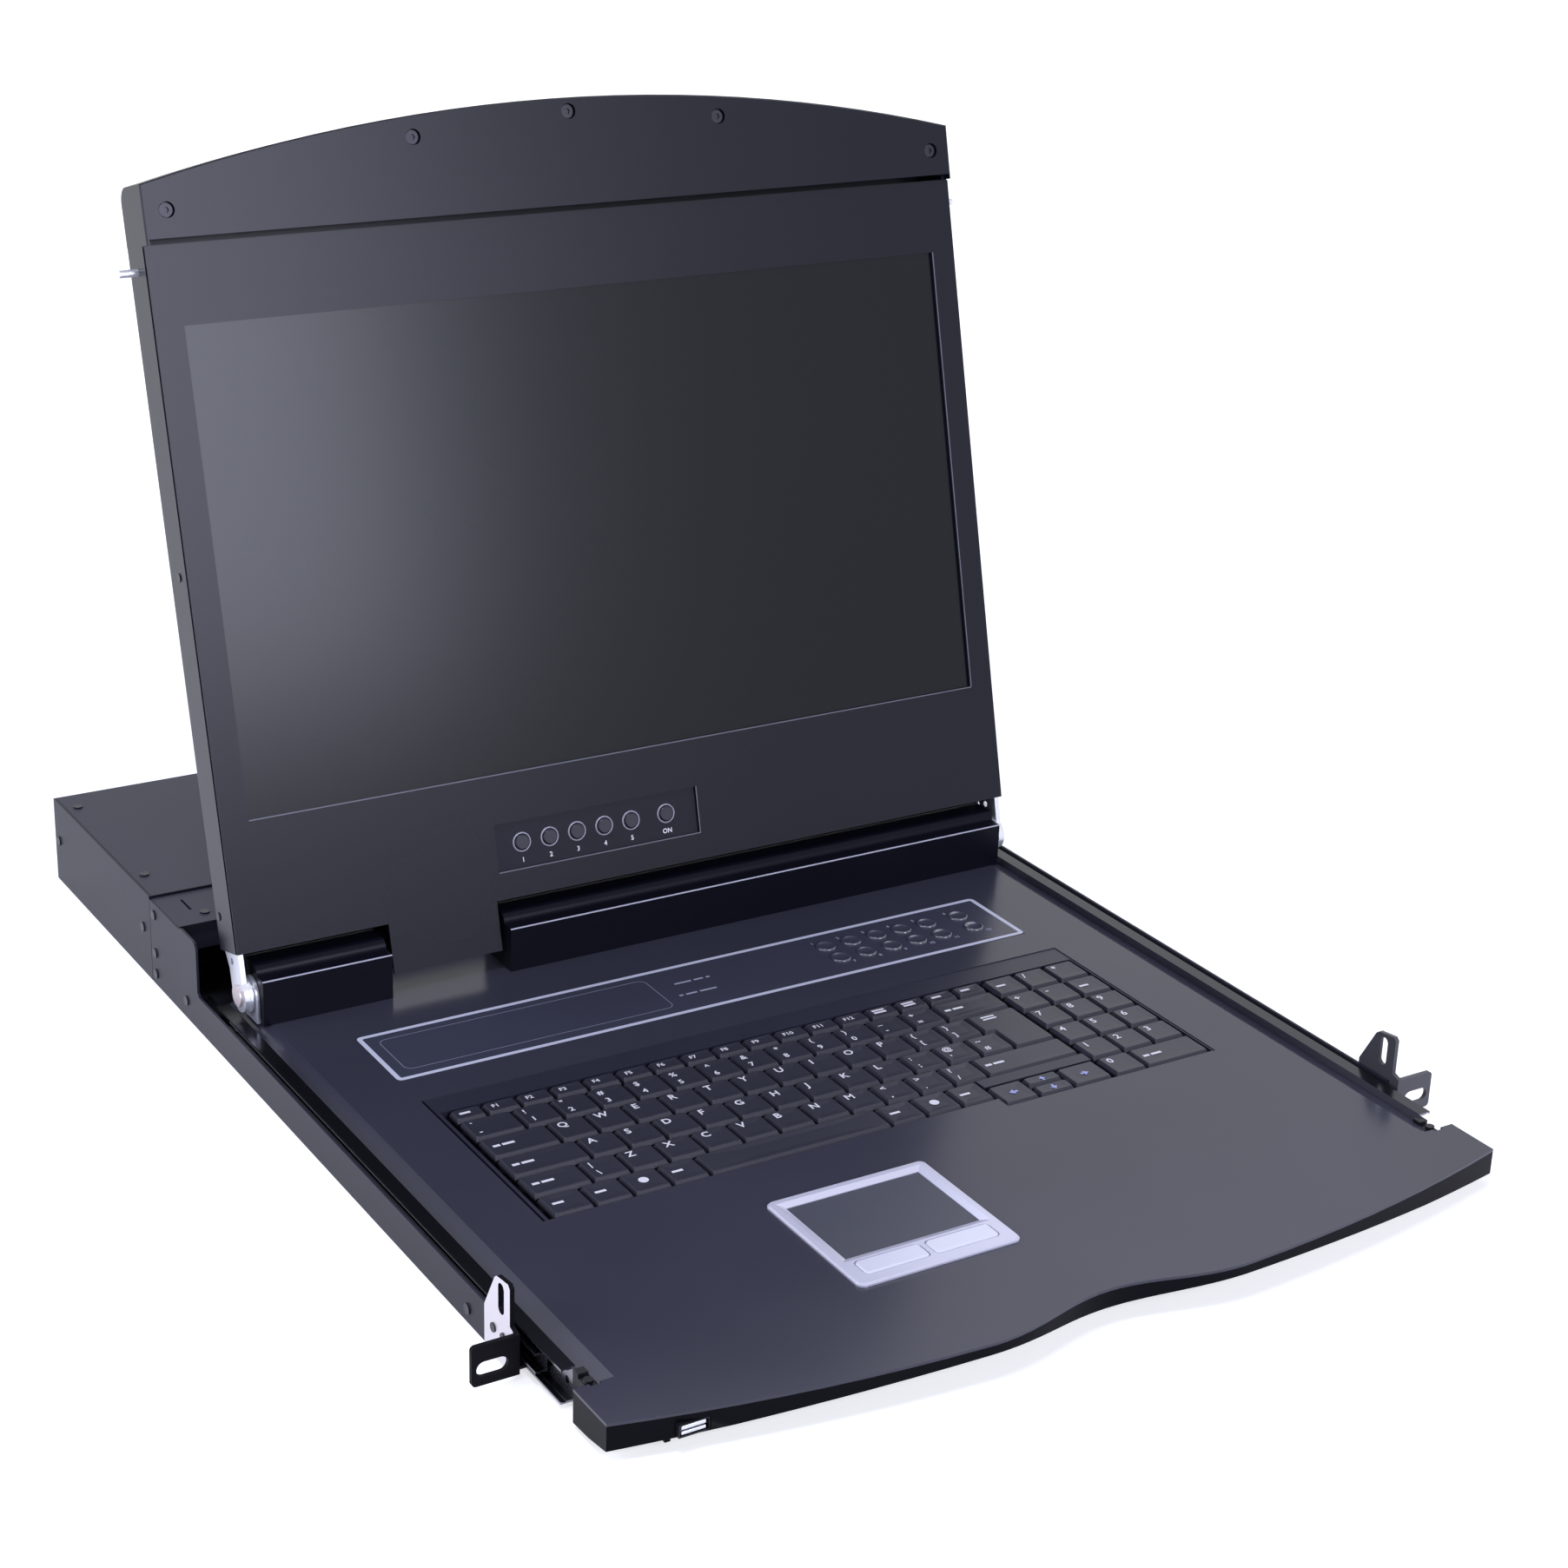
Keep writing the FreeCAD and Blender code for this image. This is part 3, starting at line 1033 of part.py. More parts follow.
def latch_pin():
    length = 16.0
    stem = rod(LATCH_RADIUS, Vector(LATCH_REACH - length, LATCH_DEPTH, LATCH_UP), length, X_AXIS)
    return stem.makeChamfer(0.6, [e for e in stem.Edges if abs(e.CenterOfMass.x - LATCH_REACH) < 0.01])


# ---------------------------------------------------------------- write every node
def chassis_nodes():
    save("chassis_pan", chassis_pan())
    save("rear_housing", rear_housing())
    save("rear_cover", rear_cover())
    save("bridge_plate", bridge_plate())
    save("port_sockets", solids([port_socket(x) for x in PORT_X]))
    save("power_inlet", power_inlet())
    save("switch_board", switch_board())
    save("power_supply", power_supply())
    nuts = [nut for x in PORT_X for nut in port_nuts(x)]
    ears = [piece for screw in ear_screws() for piece in both(screw)]
    save("chassis_screws", solids(chassis_screws() + ears + nuts))
    save("rack_ear_right", rack_ear())
    save("rack_ear_left", mirrored(rack_ear()))
    save("slide_outer_right", slide_outer())
    save("slide_outer_left", mirrored(slide_outer()))


def middle_nodes():
    save("slide_middle_right", slide_middle())
    save("slide_middle_left", mirrored(slide_middle()))
    save("slide_balls", solids([piece for item in slide_balls() + ball_cages() for piece in both(item)]))


def tray_nodes():
    save("tray_deck", tray_deck())
    save("tray_base", tray_base())
    save("front_handle", front_handle())
    save("slide_inner_right", slide_inner())
    save("slide_inner_left", mirrored(slide_inner()))
    save("slide_stops", solids(both(slide_latch())))
    save("usb_port", usb_port())
    save("select_panel", select_panel())
    save("keyboard_plate", keyboard_plate())
    save("keyboard_frame", solids([keyboard_frame()]))
    save("touchpad_bezel", touchpad_bezel())
    save("touch_surface", touch_surface())
    save("hinge_cover_left", hinge_cover(COVER_LEFT))
    save("hinge_cover_right", hinge_cover(COVER_RIGHT))
    save("hinge_brackets", solids(both(hinge_bracket())))


def key_nodes():
    for node, row in KEY_ROWS.items():
        caps = [key_cap(cell) for cell in row]
        if node == "keys_home_row":
            caps.append(enter_key())
        save(node, solids(caps))
    save("select_buttons", solids([select_button(x, y) for x in SELECT_X for y in SELECT_Y]))
    save("touch_button_left", touch_button(-1))
    save("touch_button_right", touch_button(1))


def lid_nodes():
    save("lid_shell", at_hinge(lid_shell()))
    save("lid_bezel", at_hinge(lid_bezel()))
    save("lcd_panel", at_hinge(lcd_panel()))
    save("lid_handle", at_hinge(lid_handle()))
    save("lid_screws", at_hinge(solids(strip_screws() + lid_side_screws())))
    save("osd_panel", at_hinge(osd_panel()))
    save("osd_board", at_hinge(osd_board()))
    save("hinge_arms", at_hinge(solids(both(hinge_arm()))))
    save("hinge_pins", at_hinge(solids(both(hinge_pin()))))
    save("friction_washers", at_hinge(solids([piece for ring in friction_washers() for piece in both(ring)])))
    save("latch_pin_right", at_hinge(latch_pin()))
    save("latch_pin_left", at_hinge(mirrored(latch_pin())))
    for number, x in enumerate(OSD_X, start=1):
        save("osd_button_%d" % number, at_hinge(osd_button(x)))


os.makedirs("parts", exist_ok=True)
chassis_nodes()
middle_nodes()
tray_nodes()
key_nodes()
lid_nodes()
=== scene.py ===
import json
import math

import bmesh
import bpy
from mathutils import Matrix, Vector


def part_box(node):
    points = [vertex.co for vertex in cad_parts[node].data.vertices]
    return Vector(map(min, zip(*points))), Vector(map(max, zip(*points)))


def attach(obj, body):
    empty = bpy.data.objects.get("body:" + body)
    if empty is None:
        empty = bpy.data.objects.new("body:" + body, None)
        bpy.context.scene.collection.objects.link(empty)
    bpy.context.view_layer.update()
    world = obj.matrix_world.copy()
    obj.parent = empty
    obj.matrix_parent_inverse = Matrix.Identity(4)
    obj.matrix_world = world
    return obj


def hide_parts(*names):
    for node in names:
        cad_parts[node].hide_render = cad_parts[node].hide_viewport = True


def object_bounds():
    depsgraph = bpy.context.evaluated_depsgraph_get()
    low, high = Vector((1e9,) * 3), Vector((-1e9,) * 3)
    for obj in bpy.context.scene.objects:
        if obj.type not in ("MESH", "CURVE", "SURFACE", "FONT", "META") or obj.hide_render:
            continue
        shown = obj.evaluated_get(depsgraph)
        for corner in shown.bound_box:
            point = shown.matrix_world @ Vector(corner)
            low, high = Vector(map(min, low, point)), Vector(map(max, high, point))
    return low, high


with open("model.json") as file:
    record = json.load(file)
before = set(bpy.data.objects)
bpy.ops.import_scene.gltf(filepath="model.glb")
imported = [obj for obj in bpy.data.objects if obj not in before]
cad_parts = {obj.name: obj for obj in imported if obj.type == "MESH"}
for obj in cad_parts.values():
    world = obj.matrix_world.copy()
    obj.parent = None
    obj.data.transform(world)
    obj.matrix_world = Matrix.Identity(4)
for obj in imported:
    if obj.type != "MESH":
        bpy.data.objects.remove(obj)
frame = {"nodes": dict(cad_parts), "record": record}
CAD_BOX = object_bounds()
MM = 0.001
NODES = frame["nodes"]
JOINTS = {joint["name"]: joint for joint in frame["record"]["behaviour"]["joints"]}


# ---------------------------------------------------------------- places taken from the frame
def span(node, axis):
    low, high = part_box(node)
    return low[axis], high[axis]


HINGE = Vector(JOINTS["lid_hinge"]["pos_m"])
LID_LEAN = math.radians(14.4)
LID = Matrix.Translation(HINGE) @ Matrix.Rotation(-LID_LEAN, 4, "X")
BEZEL_FACE = -7.6 * MM
BUTTON_RADIUS = 3.7 * MM
POCKET_LAP = 3.0 * MM          # how far the bezel laps over what sits in its pockets
POCKET_DEPTH = 1.5 * MM
PRINT_THICK = 0.02 * MM
GLYPH_THICK = 0.004            # of a legend one unit high
GLYPH_BOLD = 0.022
SMALL_PRINT = 3.0 * MM


def islands(node):
    """Boxes of a node's separate solids as (low, high) vector pairs, left to right."""
    mesh = bmesh.new()
    mesh.from_mesh(NODES[node].data)
    bmesh.ops.remove_doubles(mesh, verts=mesh.verts, dist=1e-6)
    boxes, seen = [], set()
    for start in mesh.verts:
        if start in seen:
            continue
        group, queue = [], [start]
        seen.add(start)
        while queue:
            vert = queue.pop()
            group.append(vert.co)
            for edge in vert.link_edges:
                other = edge.other_vert(vert)
                if other not in seen:
                    seen.add(other)
                    queue.append(other)
        boxes.append((Vector(map(min, zip(*group))), Vector(map(max, zip(*group)))))
    mesh.free()
    return sorted(boxes, key=lambda pair: pair[0].x)


# ---------------------------------------------------------------- materials
def new_material(name):
    material = bpy.data.materials.new(name)
    material.use_nodes = True
    return material, material.node_tree.nodes, material.node_tree.links


def noise(nodes, links, scale, detail=3.0, stretch=(1, 1, 1)):
    coords = nodes.new("ShaderNodeTexCoord")
    mapping = nodes.new("ShaderNodeMapping")
    mapping.inputs["Scale"].default_value = stretch
    texture = nodes.new("ShaderNodeTexNoise")
    texture.inputs["Scale"].default_value = scale
    texture.inputs["Detail"].default_value = detail
    links.new(coords.outputs["Object"], mapping.inputs["Vector"])
    links.new(mapping.outputs["Vector"], texture.inputs["Vector"])
    return texture.outputs["Fac"]


def spread(nodes, links, source, low, high):
    """Maps a 0 to 1 value onto low to high."""
    node = nodes.new("ShaderNodeMapRange")
    node.interpolation_type = "SMOOTHSTEP"
    node.inputs["From Min"].default_value = 0.15
    node.inputs["From Max"].default_value = 0.85
    node.inputs["To Min"].default_value = low
    node.inputs["To Max"].default_value = high
    links.new(source, node.inputs["Value"])
    return node.outputs["Result"]


def tint(nodes, links, source, dark, light):
    ramp = nodes.new("ShaderNodeValToRGB")
    ramp.color_ramp.interpolation = "EASE"
    ramp.color_ramp.elements[0].position = 0.15
    ramp.color_ramp.elements[0].color = (*dark, 1)
    ramp.color_ramp.elements[1].position = 0.85
    ramp.color_ramp.elements[1].color = (*light, 1)
    links.new(source, ramp.inputs["Fac"])
    return ramp.outputs["Color"]


def shades(color, amount):
    return tuple(c * (1 - amount) for c in color), tuple(c * (1 + amount) for c in color)


def coated(name, color, rough, grain=1400, bump=0.00001, specular=0.5, metallic=0.0, vary=0.08,
           stretch=(1, 1, 1), cloud=9.0, rub=0.07):
    """A painted, moulded or plated surface: fine grain in the bump, broad clouds in colour and gloss."""
    material, nodes, links = new_material(name)
    shader = nodes["Principled BSDF"]
    shader.inputs["Metallic"].default_value = metallic
    shader.inputs["Specular IOR Level"].default_value = specular
    fine = noise(nodes, links, grain, 2.0, stretch)
    broad = noise(nodes, links, cloud, 3.0)
    dark, light = shades(color, vary)
    links.new(tint(nodes, links, broad, dark, light), shader.inputs["Base Color"])
    links.new(spread(nodes, links, broad, rough * (1 - rub), rough * (1 + rub)), shader.inputs["Roughness"])
    relief = nodes.new("ShaderNodeBump")
    relief.inputs["Strength"].default_value = 1.0
    relief.inputs["Distance"].default_value = bump
    links.new(fine, relief.inputs["Height"])
    links.new(relief.outputs["Normal"], shader.inputs["Normal"])
    return material


CHASSIS_PAINT = coated("chassis_paint", (0.034, 0.034, 0.048), 0.34, specular=0.08)
REAR_PAINT = coated("rear_paint", (0.050, 0.051, 0.072), 0.36, specular=0.10)
DECK_PAINT = coated("deck_paint", (0.046, 0.048, 0.070), 0.20, specular=0.34)
LID_PAINT = coated("lid_paint", (0.008, 0.009, 0.017), 0.27, specular=0.20, vary=0.05, rub=0.02)
COVER_PAINT = coated("cover_paint", (0.005, 0.0055, 0.011), 0.30, specular=0.08)
EAR_PAINT = coated("ear_paint", (0.005, 0.005, 0.007), 0.5, specular=0.06)
# Painted light: a lighter copy of the ear paint, used for the right ear only.
EAR_PAINT_LIGHTER = coated("ear_paint_painted_light", (0.090, 0.090, 0.100), 0.42, specular=0.3)
HANDLE_PLASTIC = coated("handle_plastic", (0.003, 0.003, 0.006), 0.26, specular=0.05)
KEY_PLASTIC = coated("key_plastic", (0.028, 0.029, 0.044), 0.36, grain=2600, bump=0.000006, specular=0.32)
SURROUND_PLASTIC = coated("surround_plastic", (0.026, 0.028, 0.046), 0.36, specular=0.25)
BLACK_PLASTIC = coated("black_plastic", (0.006, 0.006, 0.009), 0.45, specular=0.3)
DARK_SCREW = coated("dark_screw", (0.030, 0.030, 0.040), 0.35, metallic=0.3, specular=0.3)
PANEL_FILM = coated("panel_film", (0.056, 0.059, 0.090), 0.26, grain=3000, bump=0.000003, specular=0.35)
# Painted light: the panel film made a little lighter on the domes.
DOME_FILM_LIGHTER = coated("dome_film_painted_light", (0.060, 0.063, 0.098), 0.20, grain=3000, bump=0.000003, specular=1.0)
PAD_FILM = coated("pad_film", (0.038, 0.042, 0.066), 0.40, grain=3600, bump=0.000004)
SILVER_PLASTIC = coated("silver_plastic", (0.72, 0.72, 0.84), 0.26, metallic=0.2, vary=0.03)
ZINC = coated("zinc", (0.24, 0.24, 0.28), 0.20, grain=600, bump=0.000004, metallic=0.9, stretch=(1, 0.05, 1))
BRIGHT = coated("bright_steel", (0.80, 0.82, 0.88), 0.25, grain=900, bump=0.000004, metallic=0.6, vary=0.03)
PIN_STEEL = coated("pin_steel", (0.62, 0.55, 0.56), 0.35, grain=900, bump=0.000004, metallic=0.6, vary=0.03)
BUTTON_SILVER = coated("button_silver", (0.88, 0.89, 0.99), 0.22, metallic=0.1, vary=0.02)
SCREEN = coated("screen", (0.004, 0.006, 0.010), 0.20, grain=5000, bump=0.000001, vary=0.02, specular=0.24,
                rub=0.01)
BOARD = coated("board", (0.02, 0.10, 0.04), 0.45)
LEGEND_WHITE = coated("legend_white", (0.92, 0.92, 0.96), 0.5, vary=0.02)
LEGEND_BLUE = coated("legend_blue", (0.42, 0.46, 0.80), 0.5, vary=0.03)
LEGEND_GREY = coated("legend_grey", (0.20, 0.21, 0.28), 0.5, vary=0.03)
OSD_PLASTIC = coated("osd_plastic", (0.014, 0.015, 0.024), 0.40, grain=1500, bump=0.00005, specular=0.14)
MARK_GREY = coated("mark_grey", (0.42, 0.44, 0.56), 0.5, vary=0.03)
OUTLINE_SILVER = coated("outline_silver", (0.72, 0.74, 0.88), 0.4, vary=0.04)
# Painted highlight colour for the pocket edges of the bezel.
EDGE_HIGHLIGHT = coated("edge_painted_highlight", (0.13, 0.135, 0.175), 0.35, vary=0.05)
# Painted highlight: the light colour of the thin line on the hinge covers' sloped front edge.
COVER_HIGHLIGHT = (0.52, 0.53, 0.62)
# Painted highlight: the light grey of the rims round the menu buttons.
RING_HIGHLIGHT = coated("ring_painted_highlight", (0.36, 0.37, 0.44), 0.25, vary=0.05, specular=0.8)


def copied(paint, name):
    material = paint.copy()
    material.name = name
    return material, material.node_tree.nodes, material.node_tree.links


def parts_of(nodes, links, vector):
    """The x, y and z of a vector output."""
    split = nodes.new("ShaderNodeSeparateXYZ")
    links.new(vector, split.inputs["Vector"])
    return split.outputs


def passes(nodes, links, source, kind, limit):
    """One where the source is past the limit, otherwise zero."""
    test = nodes.new("ShaderNodeMath")
    test.operation = kind
    test.inputs[1].default_value = limit
    links.new(source, test.inputs[0])
    return test.outputs[0]


def product(nodes, links, first, second):
    times = nodes.new("ShaderNodeMath")
    times.operation = "MULTIPLY"
    links.new(first, times.inputs[0])
    links.new(second, times.inputs[1])
    return times.outputs[0]


def recolor(nodes, links, share, color):
    """Changes the base colour to the given one where share is one."""
    shader = nodes["Principled BSDF"]
    tone = shader.inputs["Base Color"].links[0].from_socket
    mix = nodes.new("ShaderNodeMix")
    mix.data_type = "RGBA"
    links.new(share, mix.inputs["Factor"])
    links.new(tone, mix.inputs["A"])
    mix.inputs["B"].default_value = (*color, 1)
    links.new(mix.outputs["Result"], shader.inputs["Base Color"])


def edge_lit(paint, name, low, high):
    """The paint with a painted highlight: a thin bright line on the sloped front edge between two heights.
    """
    material, nodes, links = copied(paint, name)
    coords = nodes.new("ShaderNodeTexCoord")
    place = parts_of(nodes, links, coords.outputs["Object"])
    slope = parts_of(nodes, links, coords.outputs["Normal"])
    share = passes(nodes, links, place["Z"], "GREATER_THAN", low)
    for source, kind, limit in ((place["Z"], "LESS_THAN", high), (slope["Z"], "GREATER_THAN", 0.3),
                                (slope["Y"], "LESS_THAN", -0.3)):
        share = product(nodes, links, share, passes(nodes, links, source, kind, limit))
    recolor(nodes, links, share, COVER_HIGHLIGHT)
    return material


def dark_topped(paint, name, color):
    """The metal with painted shade: a dark colour on its upward faces."""
    material, nodes, links = copied(paint, name)
    coords = nodes.new("ShaderNodeTexCoord")
    slope = parts_of(nodes, links, coords.outputs["Normal"])
    recolor(nodes, links, passes(nodes, links, slope["Z"], "GREATER_THAN", 0.5), color)
    return material


def ear_material(paint, name):
    """Paint on the flange and inner side, bare zinc on the outer side of the side plate."""
    material, nodes, links = copied(paint, name)
    bare = nodes.new("ShaderNodeBsdfPrincipled")
    bare.inputs["Base Color"].default_value = (0.80, 0.76, 0.80, 1)
    bare.inputs["Metallic"].default_value = 0.5
    bare.inputs["Roughness"].default_value = 0.42
    geometry = nodes.new("ShaderNodeNewGeometry")
    normal = parts_of(nodes, links, geometry.outputs["Normal"])
    coords = nodes.new("ShaderNodeTexCoord")
    place = parts_of(nodes, links, coords.outputs["Object"])
    outward = product(nodes, links, normal["X"], place["X"])
    share = product(nodes, links, passes(nodes, links, outward, "GREATER_THAN", 0.2),
                    passes(nodes, links, place["Y"], "GREATER_THAN", 0.0))
    mix = nodes.new("ShaderNodeMixShader")
    links.new(share, mix.inputs["Fac"])
    links.new(nodes["Principled BSDF"].outputs[0], mix.inputs[1])
    links.new(bare.outputs[0], mix.inputs[2])
    links.new(mix.outputs[0], nodes["Material Output"].inputs["Surface"])
    return material


# Painted shade: the zinc slides darkened on their upward faces.
ZINC_SHADE_PAINTED_TOPS = dark_topped(ZINC, "zinc_shade_painted_tops", (0.035, 0.036, 0.046))
COVER_TOP = span("hinge_cover_left", 2)[1]
# The hinge covers' paint with a painted highlight line along the sloped front edge, just below the top.
COVER_PAINTED_HIGHLIGHT = edge_lit(COVER_PAINT, "cover_painted_highlight", COVER_TOP - 5.4 * MM, COVER_TOP - 4.5 * MM)
NODES_BY_FINISH = (
    (CHASSIS_PAINT, "chassis_pan rear_housing tray_base"),
    (REAR_PAINT, "rear_cover bridge_plate"),
    (DECK_PAINT, "tray_deck"),
    (LID_PAINT, "lid_shell lid_bezel lid_handle"),
    (COVER_PAINTED_HIGHLIGHT, "hinge_cover_left hinge_cover_right"),
    (ear_material(EAR_PAINT, "ear_plate_left"), "rack_ear_left"),
    # The right ear's paint is lighter than the left's: painted light.
    (ear_material(EAR_PAINT_LIGHTER, "ear_plate_right"), "rack_ear_right"),
    (ZINC, "power_supply slide_outer_right slide_outer_left slide_middle_right"),
    # Painted shade on the upward faces of these slides.
    (ZINC_SHADE_PAINTED_TOPS, "slide_middle_left slide_inner_right slide_inner_left"),
    (BRIGHT, "port_sockets slide_balls hinge_brackets hinge_arms friction_washers"),
    (BRIGHT, "latch_pin_right latch_pin_left"),
    (PIN_STEEL, "hinge_pins"),
    (DARK_SCREW, "chassis_screws lid_screws"),
    (BLACK_PLASTIC, "power_inlet slide_stops usb_port keyboard_plate"),
    (HANDLE_PLASTIC, "front_handle"),
    (SURROUND_PLASTIC, "keyboard_frame"),
    (SILVER_PLASTIC, "touchpad_bezel"),
    (BUTTON_SILVER, "touch_button_left touch_button_right"),
    (OSD_PLASTIC, "osd_panel"),
    (PANEL_FILM, "select_panel"),
    (DOME_FILM_LIGHTER, "select_buttons"),
    (PAD_FILM, "touch_surface"),
    (SCREEN, "lcd_panel"),
    (BOARD, "switch_board osd_board"),
)
FINISHES = {name: finish for finish, names in NODES_BY_FINISH for name in names.split()}


def dress_nodes():
    for name, node in NODES.items():
        finish = FINISHES.get(name, KEY_PLASTIC)
        for place in node.material_slots:
            place.material = finish


# ---------------------------------------------------------------- mesh helpers
def make_piece(name, mesh, material, body):
    data = bpy.data.meshes.new(name)
    mesh.to_mesh(data)
    mesh.free()
    data.materials.append(material)
    piece = bpy.data.objects.new(name, data)
    bpy.context.scene.collection.objects.link(piece)
    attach(piece, body)
    return piece


def rounded_outline(corners, radius, steps=4):
    """A closed outline with each corner replaced by an arc; corners run anticlockwise."""
    points = []
    count = len(corners)
    for i, corner in enumerate(corners):
        here = Vector(corner)
        before = (Vector(corners[i - 1]) - here).normalized()
        after = (Vector(corners[(i + 1) % count]) - here).normalized()
        half = before.angle(after) / 2
        centre = here + (before + after).normalized() * (radius / math.sin(half))
        start = here + before * (radius / math.tan(half))
        end = here + after * (radius / math.tan(half))
        a, b = start - centre, end - centre
        turn = math.atan2(a.x * b.y - a.y * b.x, a.dot(b))
        for step in range(steps + 1):
            points.append(centre + Matrix.Rotation(turn * step / steps, 2) @ a)
    return points


def ring(mesh, outline, z):
    return [mesh.verts.new((p.x, p.y, z)) for p in outline]


def bridge(mesh, lower, upper):
    count = len(lower)
    for i in range(count):
        j = (i + 1) % count
        mesh.faces.new((lower[i], lower[j], upper[j], upper[i]))


def around(x, y, radius, steps):
    """Evenly spaced points of a circle."""
    return [(x + radius * math.cos(a * math.tau / steps), y + radius * math.sin(a * math.tau / steps))
            for a in range(steps)]


def flat_frame(mesh, low, high, width, radius, z, thick=PRINT_THICK):
    """A thin printed border."""
    outer = [(low[0], low[1]), (high[0], low[1]), (high[0], high[1]), (low[0], high[1])]
    inner = [(low[0] + width, low[1] + width), (high[0] - width, low[1] + width),
             (high[0] - width, high[1] - width), (low[0] + width, high[1] - width)]
    outside = rounded_outline(outer, radius)
    inside = rounded_outline(inner, max(radius - width, radius * 0.3))
    rings = [ring(mesh, outside, z), ring(mesh, outside, z + thick),
             ring(mesh, inside, z + thick), ring(mesh, inside, z)]
    for a, b in zip(rings, rings[1:] + rings[:1]):
        bridge(mesh, a, b)


def slab(mesh, outline, z, thick=PRINT_THICK):
    low, high = ring(mesh, outline, z), ring(mesh, outline, z + thick)
    bridge(mesh, low, high)
    mesh.faces.new(high)
    mesh.faces.new(low[::-1])


def bar(mesh, x, y, length, height, z):
    """A short printed bar that stands where a word would be."""
    corners = ((x, y), (x + length, y), (x + length, y + height), (x, y + height))
    slab(mesh, [Vector(corner) for corner in corners], z)


GLYPHS = {}


def glyph(text):
    """The mesh of a short legend, one unit high, cached."""
    if text not in GLYPHS:
        curve = bpy.data.curves.new("glyph", "FONT")
        curve.body = text
        curve.offset = GLYPH_BOLD
        curve.size = 1.0
        curve.extrude = GLYPH_THICK
        curve.resolution_u = 3
        holder = bpy.data.objects.new("glyph", curve)
        bpy.context.scene.collection.objects.link(holder)
        bpy.context.view_layer.update()
        GLYPHS[text] = bpy.data.meshes.new_from_object(holder)
        bpy.data.objects.remove(holder)
        bpy.data.curves.remove(curve)
    return GLYPHS[text]


def write(mesh, text, x, y, z, size):
    """Adds a legend whose lower left corner is at x, y."""
    before = len(mesh.verts)
    mesh.from_mesh(glyph(text))
    mesh.verts.ensure_lookup_table()
    for vert in mesh.verts[before:]:
        vert.co = Vector((x + vert.co.x * size, y + vert.co.y * size,
                          z + (vert.co.z + GLYPH_THICK) * size * 0.6))


# ---------------------------------------------------------------- keyboard
KEY_SIDE = 0.9 * MM
KEY_FRONT = 1.5 * MM
KEY_REAR = 0.7 * MM
KEY_DISH = 0.18 * MM
KEY_SKIRT = 3.0 * MM


def inset(corners, side, front, rear):
    """Moves an outline's edges inwards: by side in x, by front at the front and rear at the back."""
    count = len(corners)
    moved = []
    for i, corner in enumerate(corners):
        x, y = corner
        for a, b in ((corners[i - 1], corner), (corner, corners[(i + 1) % count])):
            dx, dy = b[0] - a[0], b[1] - a[1]
            if abs(dx) > abs(dy):
                y += front if dx > 0 else -rear
            else:
                x += -side if dy > 0 else side
        moved.append((x, y))
    return moved


def add_cap(mesh, corners, top):
    """A keycap: upright skirt, sloped sides, soft top edge and a faintly dished top."""
    base = top - KEY_SKIRT
    crown = inset(corners, KEY_SIDE, KEY_FRONT, KEY_REAR)
    shoulder = inset(crown, -0.12 * MM, -0.2 * MM, -0.1 * MM)
    rings = [ring(mesh, rounded_outline(corners, 0.5 * MM), base),
             ring(mesh, rounded_outline(corners, 0.5 * MM), base + 1.2 * MM),
             ring(mesh, rounded_outline(shoulder, 0.9 * MM), top - 0.22 * MM),
             ring(mesh, rounded_outline(crown, 0.9 * MM), top - 0.04 * MM),
             ring(mesh, rounded_outline(inset(crown, 0.35 * MM, 0.35 * MM, 0.35 * MM), 0.8 * MM), top)]
    for lower, upper in zip(rings, rings[1:]):
        bridge(mesh, lower, upper)
    mesh.faces.new(rings[0][::-1])
    inner = [v.co.xy for v in rings[-1]]
    if len(corners) == 4:
        centre = sum(inner, Vector((0, 0))) / len(inner)
        dish = [mesh.verts.new((*(centre + (p - centre) * 0.55), top - KEY_DISH)) for p in inner]
        bridge(mesh, rings[-1], dish)
        mesh.faces.new(dish)
    else:
        mesh.faces.new(rings[-1])


def box_corners(low, high):
    return [(low.x, low.y), (high.x, low.y), (high.x, high.y), (low.x, high.y)]


def enter_corners(low, high, upper_edge, lower_edge, step):
    return [(lower_edge, low.y), (high.x, low.y), (high.x, high.y), (upper_edge, high.y), (upper_edge, step),
            (lower_edge, step)]


# A legend is what is written, a pair (upper, lower), None for a blank key, or one of these marks for a word.
WORD, LONG, BLOCK, DOT = "word", "long", "block", "dot"
LEGENDS = {
    "function_row": [WORD] + ["F%d" % i for i in range(1, 13)] + [BLOCK, BLOCK, WORD, WORD],
    "number_row": [("`", "-")] + list(zip("!\"#$%^&*()_+", "1234567890-=")) + [LONG],
    "upper_row": [LONG] + list("QWERTYUIOP") + [("{", "["), ("}", "]")],
    "home_row": [LONG] + list("ASDFGHJKL") + [(":", ";"), ("@", "'"), ("~", "#")],
    "lower_row": [LONG, ("|", "\\")] + list("ZXCVBNM") + [("<", ","), (">", "."), ("?", "/"), LONG],
    "space_row": [WORD, WORD, DOT, WORD, None, WORD, DOT, WORD],
}
KEY_GROUPS = (*LEGENDS, "arrows", "number_pad")
ARROW_TURNS = (90, 180, 0, -90)
PAD_LEGENDS = [["0", LONG], ["1", "2", "3"], ["4", "5", "6"], ["7", "8", "9"], ["+", "-", WORD],
               [WORD, "/", "*"]]
LEGEND_LIFT = 0.01 * MM


def arrow(mesh, x, y, z, size, turn):
    points = [Vector((0, 0.5)), Vector((-0.45, -0.1)), Vector((-0.15, -0.1)), Vector((-0.15, -0.5)),
              Vector((0.15, -0.5)), Vector((0.15, -0.1)), Vector((0.45, -0.1))]
    spin = Matrix.Rotation(turn, 2)
    slab(mesh, [Vector((x, y)) + spin @ p * size for p in points], z)


def disc(mesh, x, y, radius, z):
    slab(mesh, [Vector(point) for point in around(x, y, radius, 16)], z)


